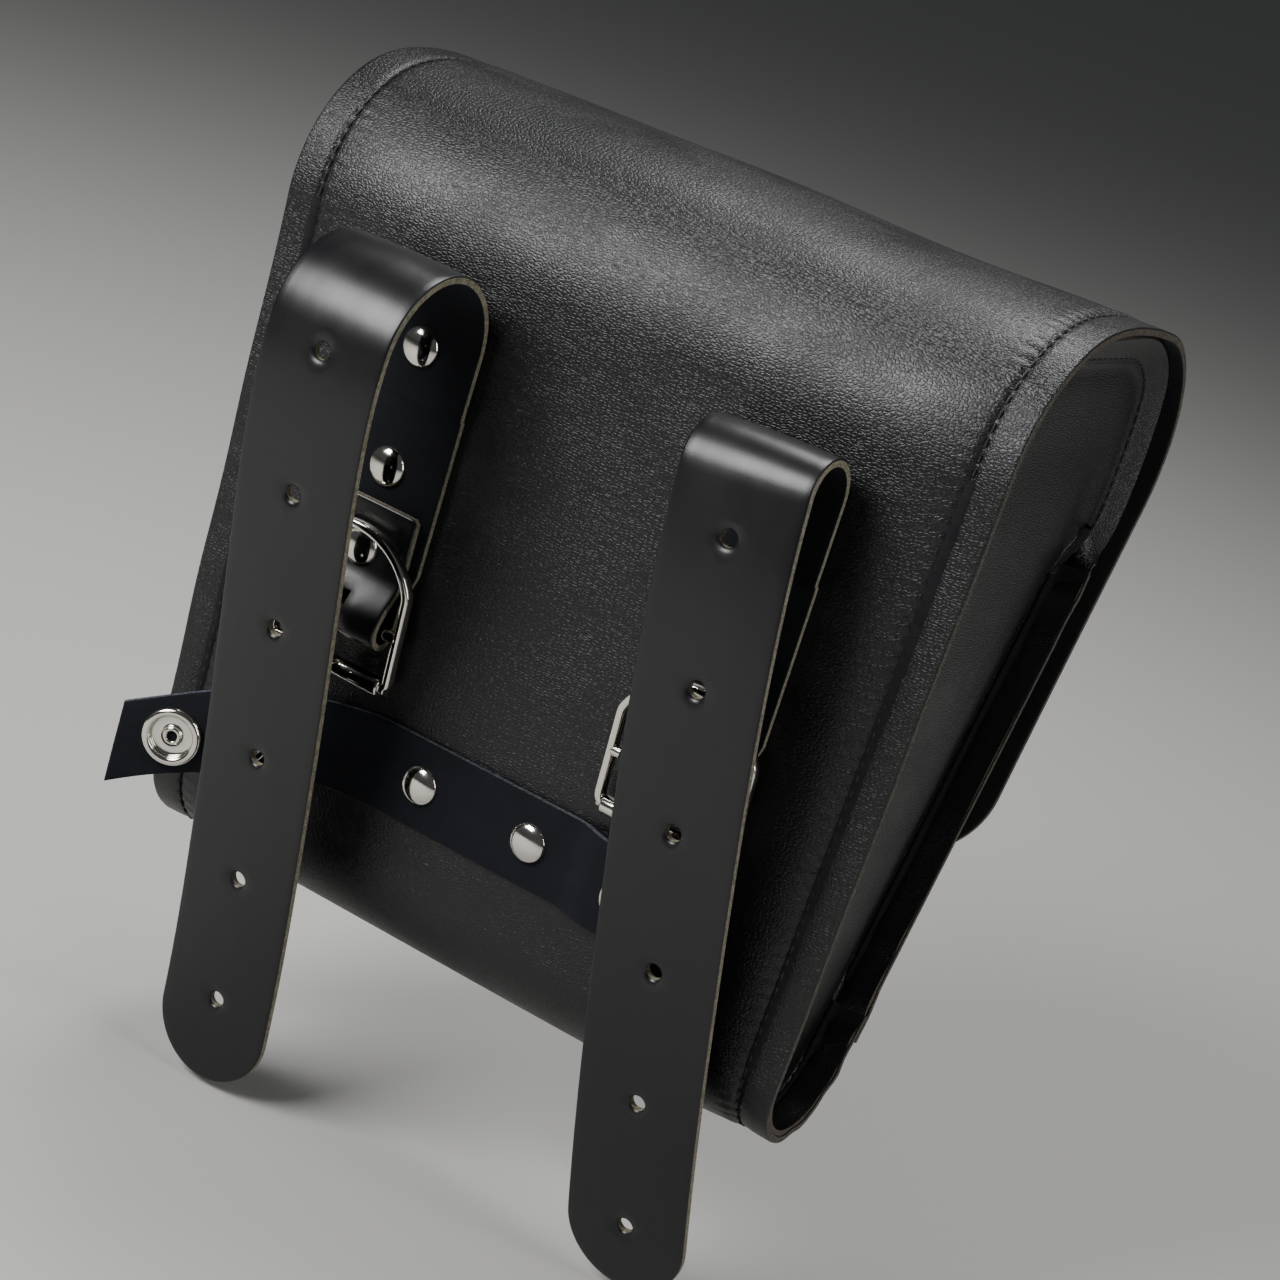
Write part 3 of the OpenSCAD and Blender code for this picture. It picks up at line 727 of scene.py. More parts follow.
def sheet_grid(rows, half_at):
    """A grid whose outer columns keep their distance from the cut edge, however wide the row is."""
    flat, faces = [], []
    columns = side_columns(WIDE)
    n = len(columns)
    for v in rows:
        half = float(half_at(v))
        inner = columns * (half - EDGE_BAND) / (WIDE - EDGE_BAND)
        outer = np.sign(columns) * (half - (WIDE - np.abs(columns)))
        flat += [(u, v) for u in np.where(np.abs(columns) < WIDE - EDGE_BAND, inner, outer)]
    for j in range(len(rows) - 1):
        for i in range(n - 1):
            a = j * n + i
            faces.append((a, a + 1, a + 1 + n, a + n))
    return flat, faces


def main_half(v):
    z = main.at(v)[..., 1]
    tapered = np.where(v < v_hinge, half_width(z), WIDE)
    into = np.clip(v - (main.length - CORNER_R), 0, CORNER_R)
    return tapered - (CORNER_R - np.sqrt(np.maximum(CORNER_R**2 - into**2, 0)))


def on_main(u, v, w):
    half = main_half(v)
    p, out = main.at(v), main.left(v)
    w = w + sewn_relief(u, v, half) + sheet_softness(u, v)
    p = p + out * w[:, None]
    return np.stack([u, p[:, 0], p[:, 1]], 1)


# %% [markdown]
# ### Back and lid
# The sheet is one piece on the real bag, but its top has to lift. It is split a little below the fold, where
# it lies flat against the back: the lower part rides on the bag, and the upper part runs on from there over
# the fold and down the flap as the lid.

# %% Back sheet and lid
SHEET_T = 2.0
v_split = v_hinge - 24
leather_set = [grained, sheet_edge, lining]
rows = np.r_[0, 0.3, np.arange(0.9, v_split, 0.9), v_split]
flat, faces = sheet_grid(rows, main_half)
back_cover = bent_sheet("back_cover", flat, faces, on_main, SHEET_T, leather_set, "bag",
                        skip_rim=lambda p: abs(p[1] - v_split) < 1e-6)
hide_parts("back_panel")
v_corner = main.length - CORNER_R
corner = v_corner + CORNER_R * np.sin(np.linspace(0, math.pi / 2, 26))
rows = np.r_[v_split, np.arange(v_split + 0.9, v_corner, 0.9), corner[:-1], main.length - 0.06, main.length]
flat, faces = sheet_grid(rows, main_half)
lid_cover = bent_sheet("lid_cover", flat, faces, on_main, SHEET_T, leather_set,
                       skip_rim=lambda p: abs(p[1] - v_split) < 1e-6)
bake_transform(lid_cover)
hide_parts("lid")
print("main sheet:", len(back_cover.data.polygons), "+", len(lid_cover.data.polygons), "faces")

# %% [markdown]
# ## The front panel
# A separate panel leans forward from the bottom seam to the mouth, under the lid's flap. Its top
# edge is turned and sewn.

# %% Front panel
HEM = 8.0
front_run = Run([foot + (SEAM_UP - 7) * front_dir, mouth])


def on_front(u, v, w):
    p = front_run.at(v)
    d = half_width(p[:, 1]) - np.abs(u)
    lap = 2.0 * (1 - smooth((v - 6) / 10))
    w = w + lap + 0.02 * v * np.sin(u / 27 + 0.4) / 10
    w -= 1.2 * np.where(d > SEAM_IN, np.exp(-np.maximum(d - SEAM_IN, 0) / 6.0), 1.0)
    w -= 0.5 * np.exp(-(((d - SEAM_IN) / 0.85) ** 2))
    w -= 0.4 * np.exp(-(((front_run.length - v - HEM) / 0.9) ** 2))
    w += 0.7 * np.exp(-(((v - 118) / 9) ** 2)) * np.sin(v / 2.6) * np.clip((SEAM_IN - d) / SEAM_IN, 0, 1)
    p = p - front_run.left(v) * w[:, None]
    return np.stack([u, p[:, 0], p[:, 1]], 1)


rows = np.r_[0, 0.3, np.arange(1.2, front_run.length - 0.6, 1.2), front_run.length - 0.25, front_run.length]
flat, faces = sheet_grid(rows, lambda v: half_width(front_run.at(v)[..., 1]))
front = bent_sheet("front_cover", flat, faces, on_front, SHEET_T, leather_set, "bag")
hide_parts("front_panel")
print(f"front panel {front_run.length:.0f} mm from seam to mouth")

# %% [markdown]
# ## Side walls
# Each side wall is a teardrop of softer sheet. Its rim is turned out and sewn under the main sheet,
# so the cut edges of both layers show; at the mouth the rim is free, flares outwards under the lid
# and carries its own row of stitches. It is lofted in rings from that rim to the middle.

# %% Line of the side wall's rim
WALL_T = 1.8
swing = ROLL[0] * math.cos(math.radians(FLAP_LEAN)) + mouth_r
sewn = Run(np.concatenate([
    [(0, HINGE_Z)], arc((FOLD_R, BOTTOM_Z), FOLD_R, 180, 360 - LEAN), [mouth]]))
inset = Run(sewn.p + 2.0 * sewn.left(sewn.s))
mouth_angle = math.degrees(math.atan2(mouth[1] - ROLL[1], mouth[0] - ROLL[0]))
shoulder = np.concatenate([
    arc(ROLL, mouth_r, mouth_angle, 90), arc((BACK_R, HINGE_Z), BACK_R - 2.5, 96, 180)])
reach = np.linalg.norm(shoulder - [0, HINGE_Z], axis=1)
shoulder = np.where((reach > swing)[:, None],
                    [0, HINGE_Z] + (shoulder - [0, HINGE_Z]) * (swing / reach)[:, None], shoulder)
rim_line = Run(np.concatenate([inset.p, shoulder])).soften(9.0)
s_mouth = rim_line.find(inset.p[-1])
CENTRE = np.array([40.0, 16.0])
print(f"wall rim {rim_line.length:.0f} mm round, free from {s_mouth:.0f} mm")

# %% [markdown]
# The rings next to the rim follow it at set distances, because the turned edge, the groove and the
# stitches live there. Further in, offsetting would fold the sheet over itself at the tight bottom,
# so the rings shrink towards one centre instead and swell into a low dome.


# %% Rings of the side wall
def smooth_round(values, window):
    """Running mean along a closed row of points."""
    kernel = np.ones(window) / window
    wrapped = np.concatenate([values[-window:], values, values[:window]])
    means = [np.convolve(column, kernel, "same") for column in wrapped.T]
    return np.stack(means, 1)[window:-window]


def wall_rings(side):
    s = np.arange(0, rim_line.length - 0.6, 1.25)
    p = rim_line.at(s)
    n = smooth_round(rim_line.left(s), 13)
    n /= np.linalg.norm(n, axis=1, keepdims=True)
    free = smooth((s - s_mouth) / 9) * (1 - smooth((s - rim_line.length + 10) / 9))
    half = np.where(s < s_mouth + 4, half_width(p[:, 1]), WIDE)
    at_fold = np.exp(-(((s - 212) / 20) ** 2)) * (np.sin(s / 2.3) + 0.5 * np.sin(s / 1.37 + 1)) * 0.8
    at_mouth = np.exp(-(((s - s_mouth + 5) / 9) ** 2)) * (np.sin(s / 2.6 + 0.5) + 0.4 * np.sin(s / 1.5)) * 1.1
    wave = at_fold + at_mouth + 0.35 * np.sin(s / 8.5)
    rings, flats = [], []
    for q in (0, 0.2, 0.6, 1.5, 3, 4.6, 6.0, 6.8, 7.4, 8.0, 8.6, 9.3, 10, 11):
        turn = np.clip((q - 6.4) / 3.9, 0, 1) * math.pi / 2
        in_sewn = 2.5 * (1 - math.cos(turn)) + max(q - 10.3, 0)
        out_sewn = q if q < 6.4 else 6.4 + 2.5 * math.sin(turn)
        in_free, out_free = 0.78 * q, 2.5 + 0.5 * q * (1 - q / 40)
        groove = 0.4 * math.exp(-(((q - 7.6) / 0.8) ** 2)) * (0.7 + 0.3 * np.cos(2 * math.pi * s / STITCH))
        inward = in_sewn * (1 - free) + in_free * free + 1.5 * (1 - free) * smooth((9 - q) / 3)
        inward = inward + wave * np.clip((8.5 - q) / 8.5, 0, 1)
        outward = out_sewn * (1 - free) + min(out_free, 8.9) * free + groove * free
        rings.append(np.column_stack([p + n * inward[:, None], half - 0.4 - outward]))
        flats.append(p + n * (q - 6.0))
    last, last_flat = rings[-1], flats[-1]
    for k in np.r_[0.02, 0.045, 0.075, 0.11, np.linspace(0.15, 1, 26)]:
        yz = last[:, :2] + (CENTRE - last[:, :2]) * k
        yz = yz if k == 1 else smooth_round(yz, 1 + 2 * int(6 * k))
        dome = 3.4 * math.sin(min(k * 1.35, 1) * math.pi / 2)
        crease = 0.5 * np.exp(-(((yz[:, 1] - 58 + 0.25 * yz[:, 0]) / 14) ** 2)) * smooth(k * 2)
        flat_x = half_width(yz[:, 1]) - 9.3
        mix = smooth(k * 4)
        rings.append(np.column_stack([yz, last[:, 2] * (1 - mix) + flat_x * mix + dome - crease]))
        flats.append(last_flat + (CENTRE - last_flat) * k)
    shaped = np.array([np.column_stack([side * r[:, 2], r[:, 0], r[:, 1]]) for r in rings])
    return s, free, shaped, np.array(flats)


# %% [markdown]
# The rings are joined into an outer skin, the same points moved in by the sheet's thickness make
# the inner skin, and a strip joins both along the rim.


# %% Side walls
def wall(side):
    s, free, shaped, flats = wall_rings(side)
    n_r, n_s = shaped.shape[:2]
    du = np.roll(shaped, -1, axis=1) - np.roll(shaped, 1, axis=1)
    normal = np.cross(du, np.gradient(shaped, axis=0))
    normal /= np.maximum(np.linalg.norm(normal, axis=2, keepdims=True), 1e-9)
    normal *= np.sign(normal[n_r // 2, :, 0].mean() * side)
    normal[-1] = [side, 0, 0]
    low = shaped - WALL_T * normal
    total = n_r * n_s
    faces, slots = [], []
    for i in range(n_s):
        k = (i + 1) % n_s
        for j in range(n_r - 1):
            quad = (j * n_s + i, j * n_s + k, (j + 1) * n_s + k, (j + 1) * n_s + i)
            faces += [quad, tuple(q + total for q in quad[::-1])]
            slots += [0, 2]
        faces.append((i, i + total, k + total, k))
        slots.append(1)
    word = WORD[side]
    points = np.concatenate([shaped.reshape(-1, 3), low.reshape(-1, 3)])
    uv = flats.reshape(-1, 2)
    obj = finish_mesh(word + "_wall", points, faces, slots, leather_set, np.concatenate([uv, uv]), "bag")
    bm = bmesh.new()
    bm.from_mesh(obj.data)
    bmesh.ops.remove_doubles(bm, verts=bm.verts, dist=1e-6)
    bmesh.ops.recalc_face_normals(bm, faces=bm.faces)
    bm.to_mesh(obj.data)
    bm.free()
    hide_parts(word + "_gusset")
    groove = 8
    return s, free, shaped[groove], normal[groove]


walls = {side: wall(side) for side in WORD}

# %% [markdown]
# ## Mounting straps
# A strap is one long piece. It is riveted flat on the back, its narrowed lower end wraps the buckle's centre
# bar and is caught under the lowest rivet, and its upper part turns over in a loop and hangs down as the tail
# with its punched holes. The smooth side faces out on the tail, so the napped flesh side shows on the riveted
# part. The tail piece carries the loop.

# %% Strap lines, seen from the side
STRAP_X, STRAP_W, STRAP_T = 48.5, 32.0, 2.0
TOP_Z = HINGE_Z - 21
BAR = np.array([-5.0, TOP_Z - 67])
LOOP_R = {-1: 20.0, 1: 10.5}
LOOP = {-1: np.array([-1 - LOOP_R[-1], TOP_Z + 3]), 1: np.array([-1 - LOOP_R[1], TOP_Z + 6.5])}
FIRST_HOLE = {-1: 2.0, 1: 11.0}
TIP_Z, HOLE_PITCH, HOLE_R = TOP_Z + 23 - 217, 34.5, 2.0
LEAN_DEG = {-1: 0.0, 1: 6.0}
TAIL_PULL = {-1: (-14, -45), 1: (-20, -35)}
TAIL_LOW = {-1: (-9, TIP_Z), 1: (6, TIP_Z)}
SWAP_Z = 50.0
strap_set = [satin, strap_edge, flesh]


def tail_run(side):
    outer = LOOP[side] - [LOOP_R[side], 0]
    hang = bezier(TAIL_LOW[side], TAIL_PULL[side], outer - [4, 34], outer)
    return Run(np.concatenate([hang, arc(LOOP[side], LOOP_R[side], 180, 0), [(-1, SWAP_Z)]]))


def strap_point(run, side, u, v, w, lean=0.0, curl=0.0, wave=0.0):
    """The strap's show side lies half a thickness outside the run; w counts out from it."""
    p, out = run.at(v), run.left(v)
    w = w + STRAP_T / 2 - curl * (u / 16) ** 2 + wave * np.sin(v / 26 + side) * np.clip(v / 60, 0, 1)
    p = p + out * w[:, None]
    top_z = LOOP[side][1] + LOOP_R[side]
    a = math.radians(LEAN_DEG[side]) * lean
    drop = top_z - p[:, 1]
    x, z = u * np.cos(a) + drop * np.sin(a), top_z - drop * np.cos(a) + u * np.sin(a)
    return np.stack([side * STRAP_X + x, p[:, 0], z], 1)


# %% [markdown]
# ### Tails
# A tail is cut flat, with a round tip and six punched holes, and bent along its line. Below the loop the
# hanging part leans sideways by its side's angle, and the lean fades out over the loop.


# %% Tails, with their loops and punched holes
def tail(side):
    run = tail_run(side)
    tip = STRAP_W / 2
    nose = [(tip * math.sin(a), tip - tip * math.cos(a)) for a in np.radians(np.arange(-90, 91, 6))]
    outline = nose + [(tip, run.length), (-tip, run.length)]
    loop_start = run.find(LOOP[side] - [LOOP_R[side], 0])
    hanging = run.p[: np.searchsorted(run.s, loop_start)]
    heights = LOOP[side][1] - FIRST_HOLE[side] - HOLE_PITCH * np.arange(6)
    holes = [(0.0, float(run.s[np.argmin(np.abs(hanging[:, 1] - z))]), HOLE_R) for z in heights]
    flat, faces = cut_piece(outline, 1.9, holes)

    def place(u, v, w):
        lean = 1 - smooth((v - loop_start) / (math.pi * LOOP_R[side]))
        for x, y, r in holes:
            gap = np.hypot(u - x, v - y) - r
            w = w - 0.5 * np.exp(-((gap / 0.9) ** 2)) + 0.12 * np.exp(-(((gap - 2.2) / 1.0) ** 2))
        return strap_point(run, side, u, v, w, lean, 0.5, 0.35)

    name = WORD[side] + "_tail"
    obj = bent_sheet(name, flat, faces, place, STRAP_T, strap_set,
                     skip_rim=lambda p: abs(p[1] - run.length) < 1e-6)
    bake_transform(obj)
    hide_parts(name.replace("_tail", "_strap_tail"))
    print(f"{name}: {run.length:.0f} mm long, {len(flat)} flat points")


for side in WORD:
    tail(side)

# %% [markdown]
# ### Riveted part
# The rest of the strap runs down the back, narrows, wraps the buckle's centre bar and comes back up
# to its rivet. A slot where it turns lets the prong out.

# %% Riveted part and turned-back end
RETURN_W, RETURN_TOP = 27.0, TOP_Z - 38.5


def fixed_run():
    ease = 0.5 * (1 - np.cos(np.linspace(0, math.pi, 24)))
    top = BAR[1] + 14
    back = np.stack([-3.1 + (BAR[0] - 4 + 3.1) * ease, np.linspace(top, BAR[1], 24)], 1)
    turn = arc(BAR, 4.0, 180, 360)
    return Run(np.concatenate([[(-1, SWAP_Z)], turn[::-1], back[::-1], [(-3.1, RETURN_TOP)]])).soften(1.2)


def riveted(side):
    run = fixed_run()
    wide, slim = STRAP_W / 2, RETURN_W / 2
    narrow = SWAP_Z - (BAR[1] + 9)
    half_turn = run.find(BAR - [0, 4.0])
    slot_a, slot_b = half_turn - 6.0, half_turn + 13.0
    L = run.length
    right_edge = [(wide, 0), (wide, narrow - 6), (slim, narrow + 3), (slim, L - 1.0), (slim - 1.0, L)]
    outline = right_edge + [(-x, y) for x, y in right_edge[::-1]]
    flat, faces = cut_piece(outline, 1.7)
    centres = np.array([flat[list(f)].mean(0) for f in faces])
    keep = (np.abs(centres[:, 0]) > 2.9) | (centres[:, 1] < slot_a) | (centres[:, 1] > slot_b)
    faces = [f for f, k in zip(faces, keep) if k]
    used = sorted({i for f in faces for i in f})
    again = {old: new for new, old in enumerate(used)}
    flat, faces = flat[used], [tuple(again[i] for i in f) for f in faces]

    def place(u, v, w):
        lift = 0.35 * smooth((v - L + 14) / 14) * (u / slim) ** 2
        return strap_point(run, side, u, v, w + lift)

    obj = bent_sheet(WORD[side] + "_riveted_strap", flat, faces, place, STRAP_T,
                     strap_set, "bag", skip_rim=lambda p: abs(p[1]) < 1e-6)
    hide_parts(WORD[side] + "_strap")


for side in WORD:
    riveted(side)
print(f"riveted part and return end {fixed_run().length:.0f} mm long")

# %% [markdown]
# ## Snap band
# The band is a strip of napped felt, riveted in the middle and free at both ends. The left end
# springs off the back and carries two ring sockets; the right end is lifted by the studs on its
# inner side. Both are seen best from above, so their lines are drawn there.

# %% Snap band
BAND_W, BAND_T, BAND_Z = 22.0, 1.8, -HINGE_Z + 48
ROOT = 24.0
REACH = {-1: 68.0, 1: 47.0}
DROOP = {-1: 20.0, 1: 4.0}
band_set = [felt, felt_edge, felt]


def band_run(side):
    """Centre line from the band's middle outwards: (distance from the middle, depth off the back)."""
    if side < 0:
        bend = 2 * math.atan(18 / REACH[-1])
        r = REACH[-1] / math.sin(bend)
        free = arc((ROOT, -r - BAND_T / 2), r, 90, 90 - math.degrees(bend))
    else:
        lift = np.array([14.0, -3.5])
        slope = math.tan(math.radians(5))
        tip = lift + (REACH[1] - 14) * np.array([1, -slope])
        free = np.concatenate([bezier((0, 0), (7, 0), lift - 7 * np.array([1, -slope]), lift), [tip]])
        free = free + [ROOT, -BAND_T / 2]
    return Run(np.concatenate([[(0, -BAND_T / 2)], free]))


def on_band(u, v, w):
    """A point of the band: u runs along it from the middle, negative to the left."""
    far = np.abs(u)
    points = np.zeros((len(u), 3))
    for side in (-1, 1):
        on = u < 0 if side < 0 else u >= 0
        run, q = band_run(side), far[on]
        p, out = run.at(q), -run.left(q)
        drop = DROOP[side] * (np.clip(p[:, 0] - ROOT, 0, 99) / REACH[side]) ** 2
        curl = 0.5 * (v[on] / (BAND_W / 2)) ** 2 * smooth((q - 24) / 14)
        bow = 0.5 * np.sin(q / 11.0) * smooth((q - 26) / 20) * (side < 0)
        p = p + out * (w[on] + BAND_T / 2 - curl + bow)[:, None]
        wave = 0.25 * np.sin(u[on] / 7.0 + v[on]) * smooth((q - 24) / 14)
        points[on] = np.stack([side * p[:, 0], p[:, 1], BAND_Z + v[on] + wave - drop], 1)
    return points


def band_piece(name, start, end, open_ends, body=None):
    half = BAND_W / 2
    outline = [(start, -half), (end, -half), (end, half), (start, half)]
    flat, faces = cut_piece(outline, 1.8)
    return bent_sheet(name, flat, faces, on_band, BAND_T, band_set, body, edge=0.3,
                      skip_rim=lambda p: min(abs(p[0] - x) for x in open_ends) < 1e-6)


MEET = 22.5
strip = band_piece("band_strip", -MEET, MEET, (-MEET, MEET), "bag")
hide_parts("band_middle")
for side, word in WORD.items():
    tip = side * band_run(side).length
    end = band_piece(f"band_free_{word}", min(side * MEET, tip), max(side * MEET, tip), (side * MEET,))
    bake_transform(end)
    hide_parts(f"band_{word}_end")
    print(f"band {word} of its middle: {abs(tip):.0f} mm")

# %% [markdown]
# ## Hardware
# The caps are domed, turned parts, so a lathe profile makes one of each and the repeating tree
# sets them on their posts. The CAD frame already knows where each one sits; the places are read
# from its solids, so nothing can drift.


# %% Where the small parts sit
def solids_of(node):
    """The points of each separate solid in a CAD node, in millimetres."""
    bm = bmesh.new()
    bm.from_mesh(nodes[node].data)
    bmesh.ops.remove_doubles(bm, verts=bm.verts, dist=1e-6)
    bm.verts.ensure_lookup_table()
    seen, groups = set(), []
    for v in bm.verts:
        if v.index in seen:
            continue
        stack, group = [v], []
        seen.add(v.index)
        while stack:
            at = stack.pop()
            group.append(np.array(at.co) / MM)
            for e in at.link_edges:
                o = e.other_vert(at)
                if o.index not in seen:
                    seen.add(o.index)
                    stack.append(o)
        groups.append(np.array(group))
    bm.free()
    return groups


def caps_on(node, out):
    """The highest spot, seen along out, of each solid in a node."""
    out = np.array(out, float) / np.linalg.norm(out)
    return [g[(g @ out) > (g @ out).max() - 1e-3].mean(0) for g in solids_of(node)]


BACK = (0, -1, 0)
FRONT = (0, front_out[0], front_out[1])
FLAP = (0, -flap_dir[1], flap_dir[0])


def dome(radius, rise, top, step=6):
    """Profile of a domed cap, from its highest point at height top."""
    angles = np.radians(np.arange(step, 85, step))
    return [(0, top)] + [(radius * math.sin(a), top - rise + rise * math.cos(a)) for a in angles]


cap = lathe("pattern_cap", dome(5.0, 2.2, 0) + [(5.0, -2.1), (5.05, -2.25), (4.7, -2.3), (0, -2.3)])
for node, body, out in (
    ("left_strap_rivets", "bag", BACK), ("right_strap_rivets", "bag", BACK), ("band_rivets", "bag", BACK),
    ("closure_rivets", "lid", FLAP),
):
    at = caps_on(node, out)
    obj = repeat(node + "_domed", cap, at, [out] * len(at), [(1, 0, 0)] * len(at), chrome, body)
    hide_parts(node)
    print(node, [tuple(a.round(1)) for a in at])

# %% [markdown]
# ### Ring snaps
# A ring socket is a rolled ring with a deep well; at its centre the eyelet comes through with a
# hole. The stud is a short barrel with a rounded, undercut head.

# %% Ring snaps, studs and eyelets
ring = lathe("pattern_ring", [
    (1.3, -0.2), (1.3, 1.15), (1.5, 1.4), (2.0, 1.4), (2.35, 1.15), (2.5, 0.75), (3.1, 0.62),
    (4.9, 0.62), (5.25, 0.8), (5.3, 1.9), (5.5, 2.3), (6.0, 2.6), (6.6, 2.62), (7.1, 2.4),
    (7.45, 1.9), (7.55, 1.2), (7.5, 0.35), (7.7, 0.0), (1.6, -0.02), (1.3, -0.2)], 56)
snap_cap = lathe("pattern_snap_cap", dome(6.4, 1.8, 1.8, 8) + [(6.5, 0.1), (6.3, 0), (0, 0)])
stud = lathe("pattern_stud", [
    (1.0, 0), (1.0, 2.4), (1.6, 2.95), (3.2, 3.0), (3.9, 2.8), (4.2, 2.35), (4.1, 1.9),
    (3.75, 1.55), (3.7, 1.0), (4.3, 0.85), (5.8, 0.8), (6.3, 0.5), (6.45, 0.0), (1.0, 0)], 48)
eyelet = lathe("pattern_eyelet", [
    (0.95, -1.9), (0.95, 0.45), (1.2, 0.75), (1.9, 0.85), (3.6, 0.8), (5.0, 0.6), (5.45, 0.3), (5.5, 0.0),
    (1.5, 0.0), (1.5, -1.9), (0.95, -1.9)], 40)


SNAPS = {-1: (REACH[-1] - 12, REACH[-1] - 28.5), 1: (REACH[1] - 10, REACH[1] - 26.5)}


def snap_seat(side, distance, off):
    """Point and outward direction on the band, so far from where its end starts."""
    run = band_run(side)
    s = float(run.s[np.argmin(np.abs(run.p[:, 0] - (ROOT + distance)))])
    p, out = run.at(s), -run.left(s)
    drop = DROOP[side] * (distance / REACH[side]) ** 2
    away = np.array([side * out[0], out[1], 0])
    return np.array([side * p[0], p[1], BAND_Z - drop]) + off * away, away


for node, side, shape, off, flip in (
    ("band_sockets", -1, ring, BAND_T / 2, 1), ("band_socket_caps", -1, snap_cap, -BAND_T / 2, -1),
    ("band_studs", 1, stud, -BAND_T / 2, -1), ("band_stud_eyelets", 1, eyelet, BAND_T / 2, 1),
):
    seats = [snap_seat(side, d, off) for d in SNAPS[side]]
    obj = repeat(node + "_turned", shape, [s[0] for s in seats], [flip * s[1] for s in seats],
                 [(0, 0, 1)] * 2, chrome, "band_left" if side < 0 else "band_right")
    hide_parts(node)
    print(node, "turned,", len(obj.data.polygons), "faces")

# %% [markdown]
# ### Buckles
# The frame is a cast loop of rounded section: a bowed end with soft corners, straight sides and a
# bar across the foot that carries a loose roller. A centre bar holds the strap and the prong. The
# loop is one closed sweep, so its corners stay round.


# %% Sweeping a rounded bar
def sweep(path, half_w, half_d, closed, square=0.55, n=16):
    """Points and faces of a bar with a rounded section along a path of buckle points."""
    path = np.array(path, float)
    ahead = np.roll(path, -1, axis=0) if closed else np.r_[path[1:], path[-1:] * 2 - path[-2:-1]]
    behind = np.roll(path, 1, axis=0) if closed else np.r_[path[:1] * 2 - path[1:2], path[:-1]]
    t = ahead - behind
    t /= np.linalg.norm(t, axis=1, keepdims=True)
    side = np.cross(t, [0, 0, 1.0]) if abs(t[:, 2]).max() < 0.5 else np.tile([1.0, 0, 0], (len(t), 1))
    side /= np.linalg.norm(side, axis=1, keepdims=True)
    up = np.cross(side, t)
    a = np.linspace(0, 2 * math.pi, n, endpoint=False)
    across, rise = (size * np.sign(f) * np.abs(f) ** square
                    for size, f in ((half_w, np.cos(a)), (half_d, np.sin(a))))
    verts = path[:, None] + side[:, None] * across[None, :, None] + up[:, None] * rise[None, :, None]
    m, faces = len(path), []
    for j in range(m if closed else m - 1):
        k = (j + 1) % m
        for i in range(n):
            h = (i + 1) % n
            faces.append((j * n + i, j * n + h, k * n + h, k * n + i))
    if not closed:
        faces += [tuple(range(n)), tuple((m - 1) * n + i for i in reversed(range(n)))]
    return verts.reshape(-1, 3), faces


# %% [markdown]
# A buckle is drawn flat round its centre bar and then leaned back a little onto the strap. The loop
# is narrow at the roller end, with small corners, and bowed at the other.

# %% Buckle frame
TILT = math.radians(5)
BOW_HALF, BOW_R, RAIL, ROLLER_DROP, BOW_RISE = 17.6, 20.0, 1.15, 13.5, 24.0


def at_bar(points, side):
    """Buckle points (x, up the buckle, out of the buckle) placed on the bag."""
    x, up, out = np.array(points, float).T
    y = BAR[0] - up * math.sin(TILT) - out * math.cos(TILT)
    z = BAR[1] + up * math.cos(TILT) - out * math.sin(TILT)
    return np.column_stack([side * STRAP_X + x, y, z])


def buckle_loop():
    r = BOW_R - RAIL
    corner = math.degrees(math.acos(BOW_HALF / r))
    bow = arc((0, BOW_RISE - BOW_R), r, corner, 180 - corner, 40)
    low, cut = -ROLLER_DROP, 1.5
    foot_end = [(-BOW_HALF, low + cut), (-BOW_HALF + cut, low), (BOW_HALF - cut, low), (BOW_HALF, low + cut)]
    return Run(np.concatenate([foot_end[-1:], bow, foot_end]), 0.5).soften(1.6)


# %% [markdown]
# Bars and tubes have slightly eased ends, which catch the light as machined ends do. The prong is a
# flattened rod that bows over the roller.


# %% Bars, tubes and the prong
def merge(parts):
    verts, faces, n = [], [], 0
    for v, f in parts:
        verts.append(v)
        faces += [tuple(i + n for i in q) for q in f]
        n += len(v)
    return np.concatenate(verts), faces


def rod(x0, x1, up, radius, seg=20, ends=0.35, bore=0.0):
    """A round bar, or a tube when it has a bore, across the buckle."""
    xs = [x0, x0, x0 + ends * 0.3, x0 + ends, x1 - ends, x1 - ends * 0.3, x1, x1]
    rs = [bore, radius - ends, radius - ends * 0.3, radius, radius, radius - ends * 0.3, radius - ends, bore]
    a = np.linspace(0, 2 * math.pi, seg, endpoint=False)
    verts = np.array([(x, up + r * math.cos(t), r * math.sin(t)) for x, r in zip(xs, rs) for t in a])
    m = len(xs)
    faces = [(j * seg + i, j * seg + (i + 1) % seg, (j + 1) * seg + (i + 1) % seg, (j + 1) * seg + i)
             for j in range(m - 1) for i in range(seg)]
    if bore:
        faces += [((m - 1) * seg + i, (m - 1) * seg + (i + 1) % seg, (i + 1) % seg, i) for i in range(seg)]
    else:
        faces += [tuple(range(seg))[::-1], tuple((m - 1) * seg + i for i in range(seg))]
    return verts, faces


def prong_line():
    """The prong bows out over the roller; its tip turns down onto it."""
    over = (-4.7, 1 - ROLLER_DROP)
    tongue = bezier((-2.4, 0.2), (-4.6, -2.5), (-4.9, -6.5), over, 16)
    tip = bezier(over, (-4.55, -ROLLER_DROP - 1), (-4.1, -ROLLER_DROP - 2), (-3.6, -16.4), 8)
    tongue = np.concatenate([tongue, tip[1:]])
    return np.column_stack([np.zeros(len(tongue)), tongue[:, 1], -tongue[:, 0]])


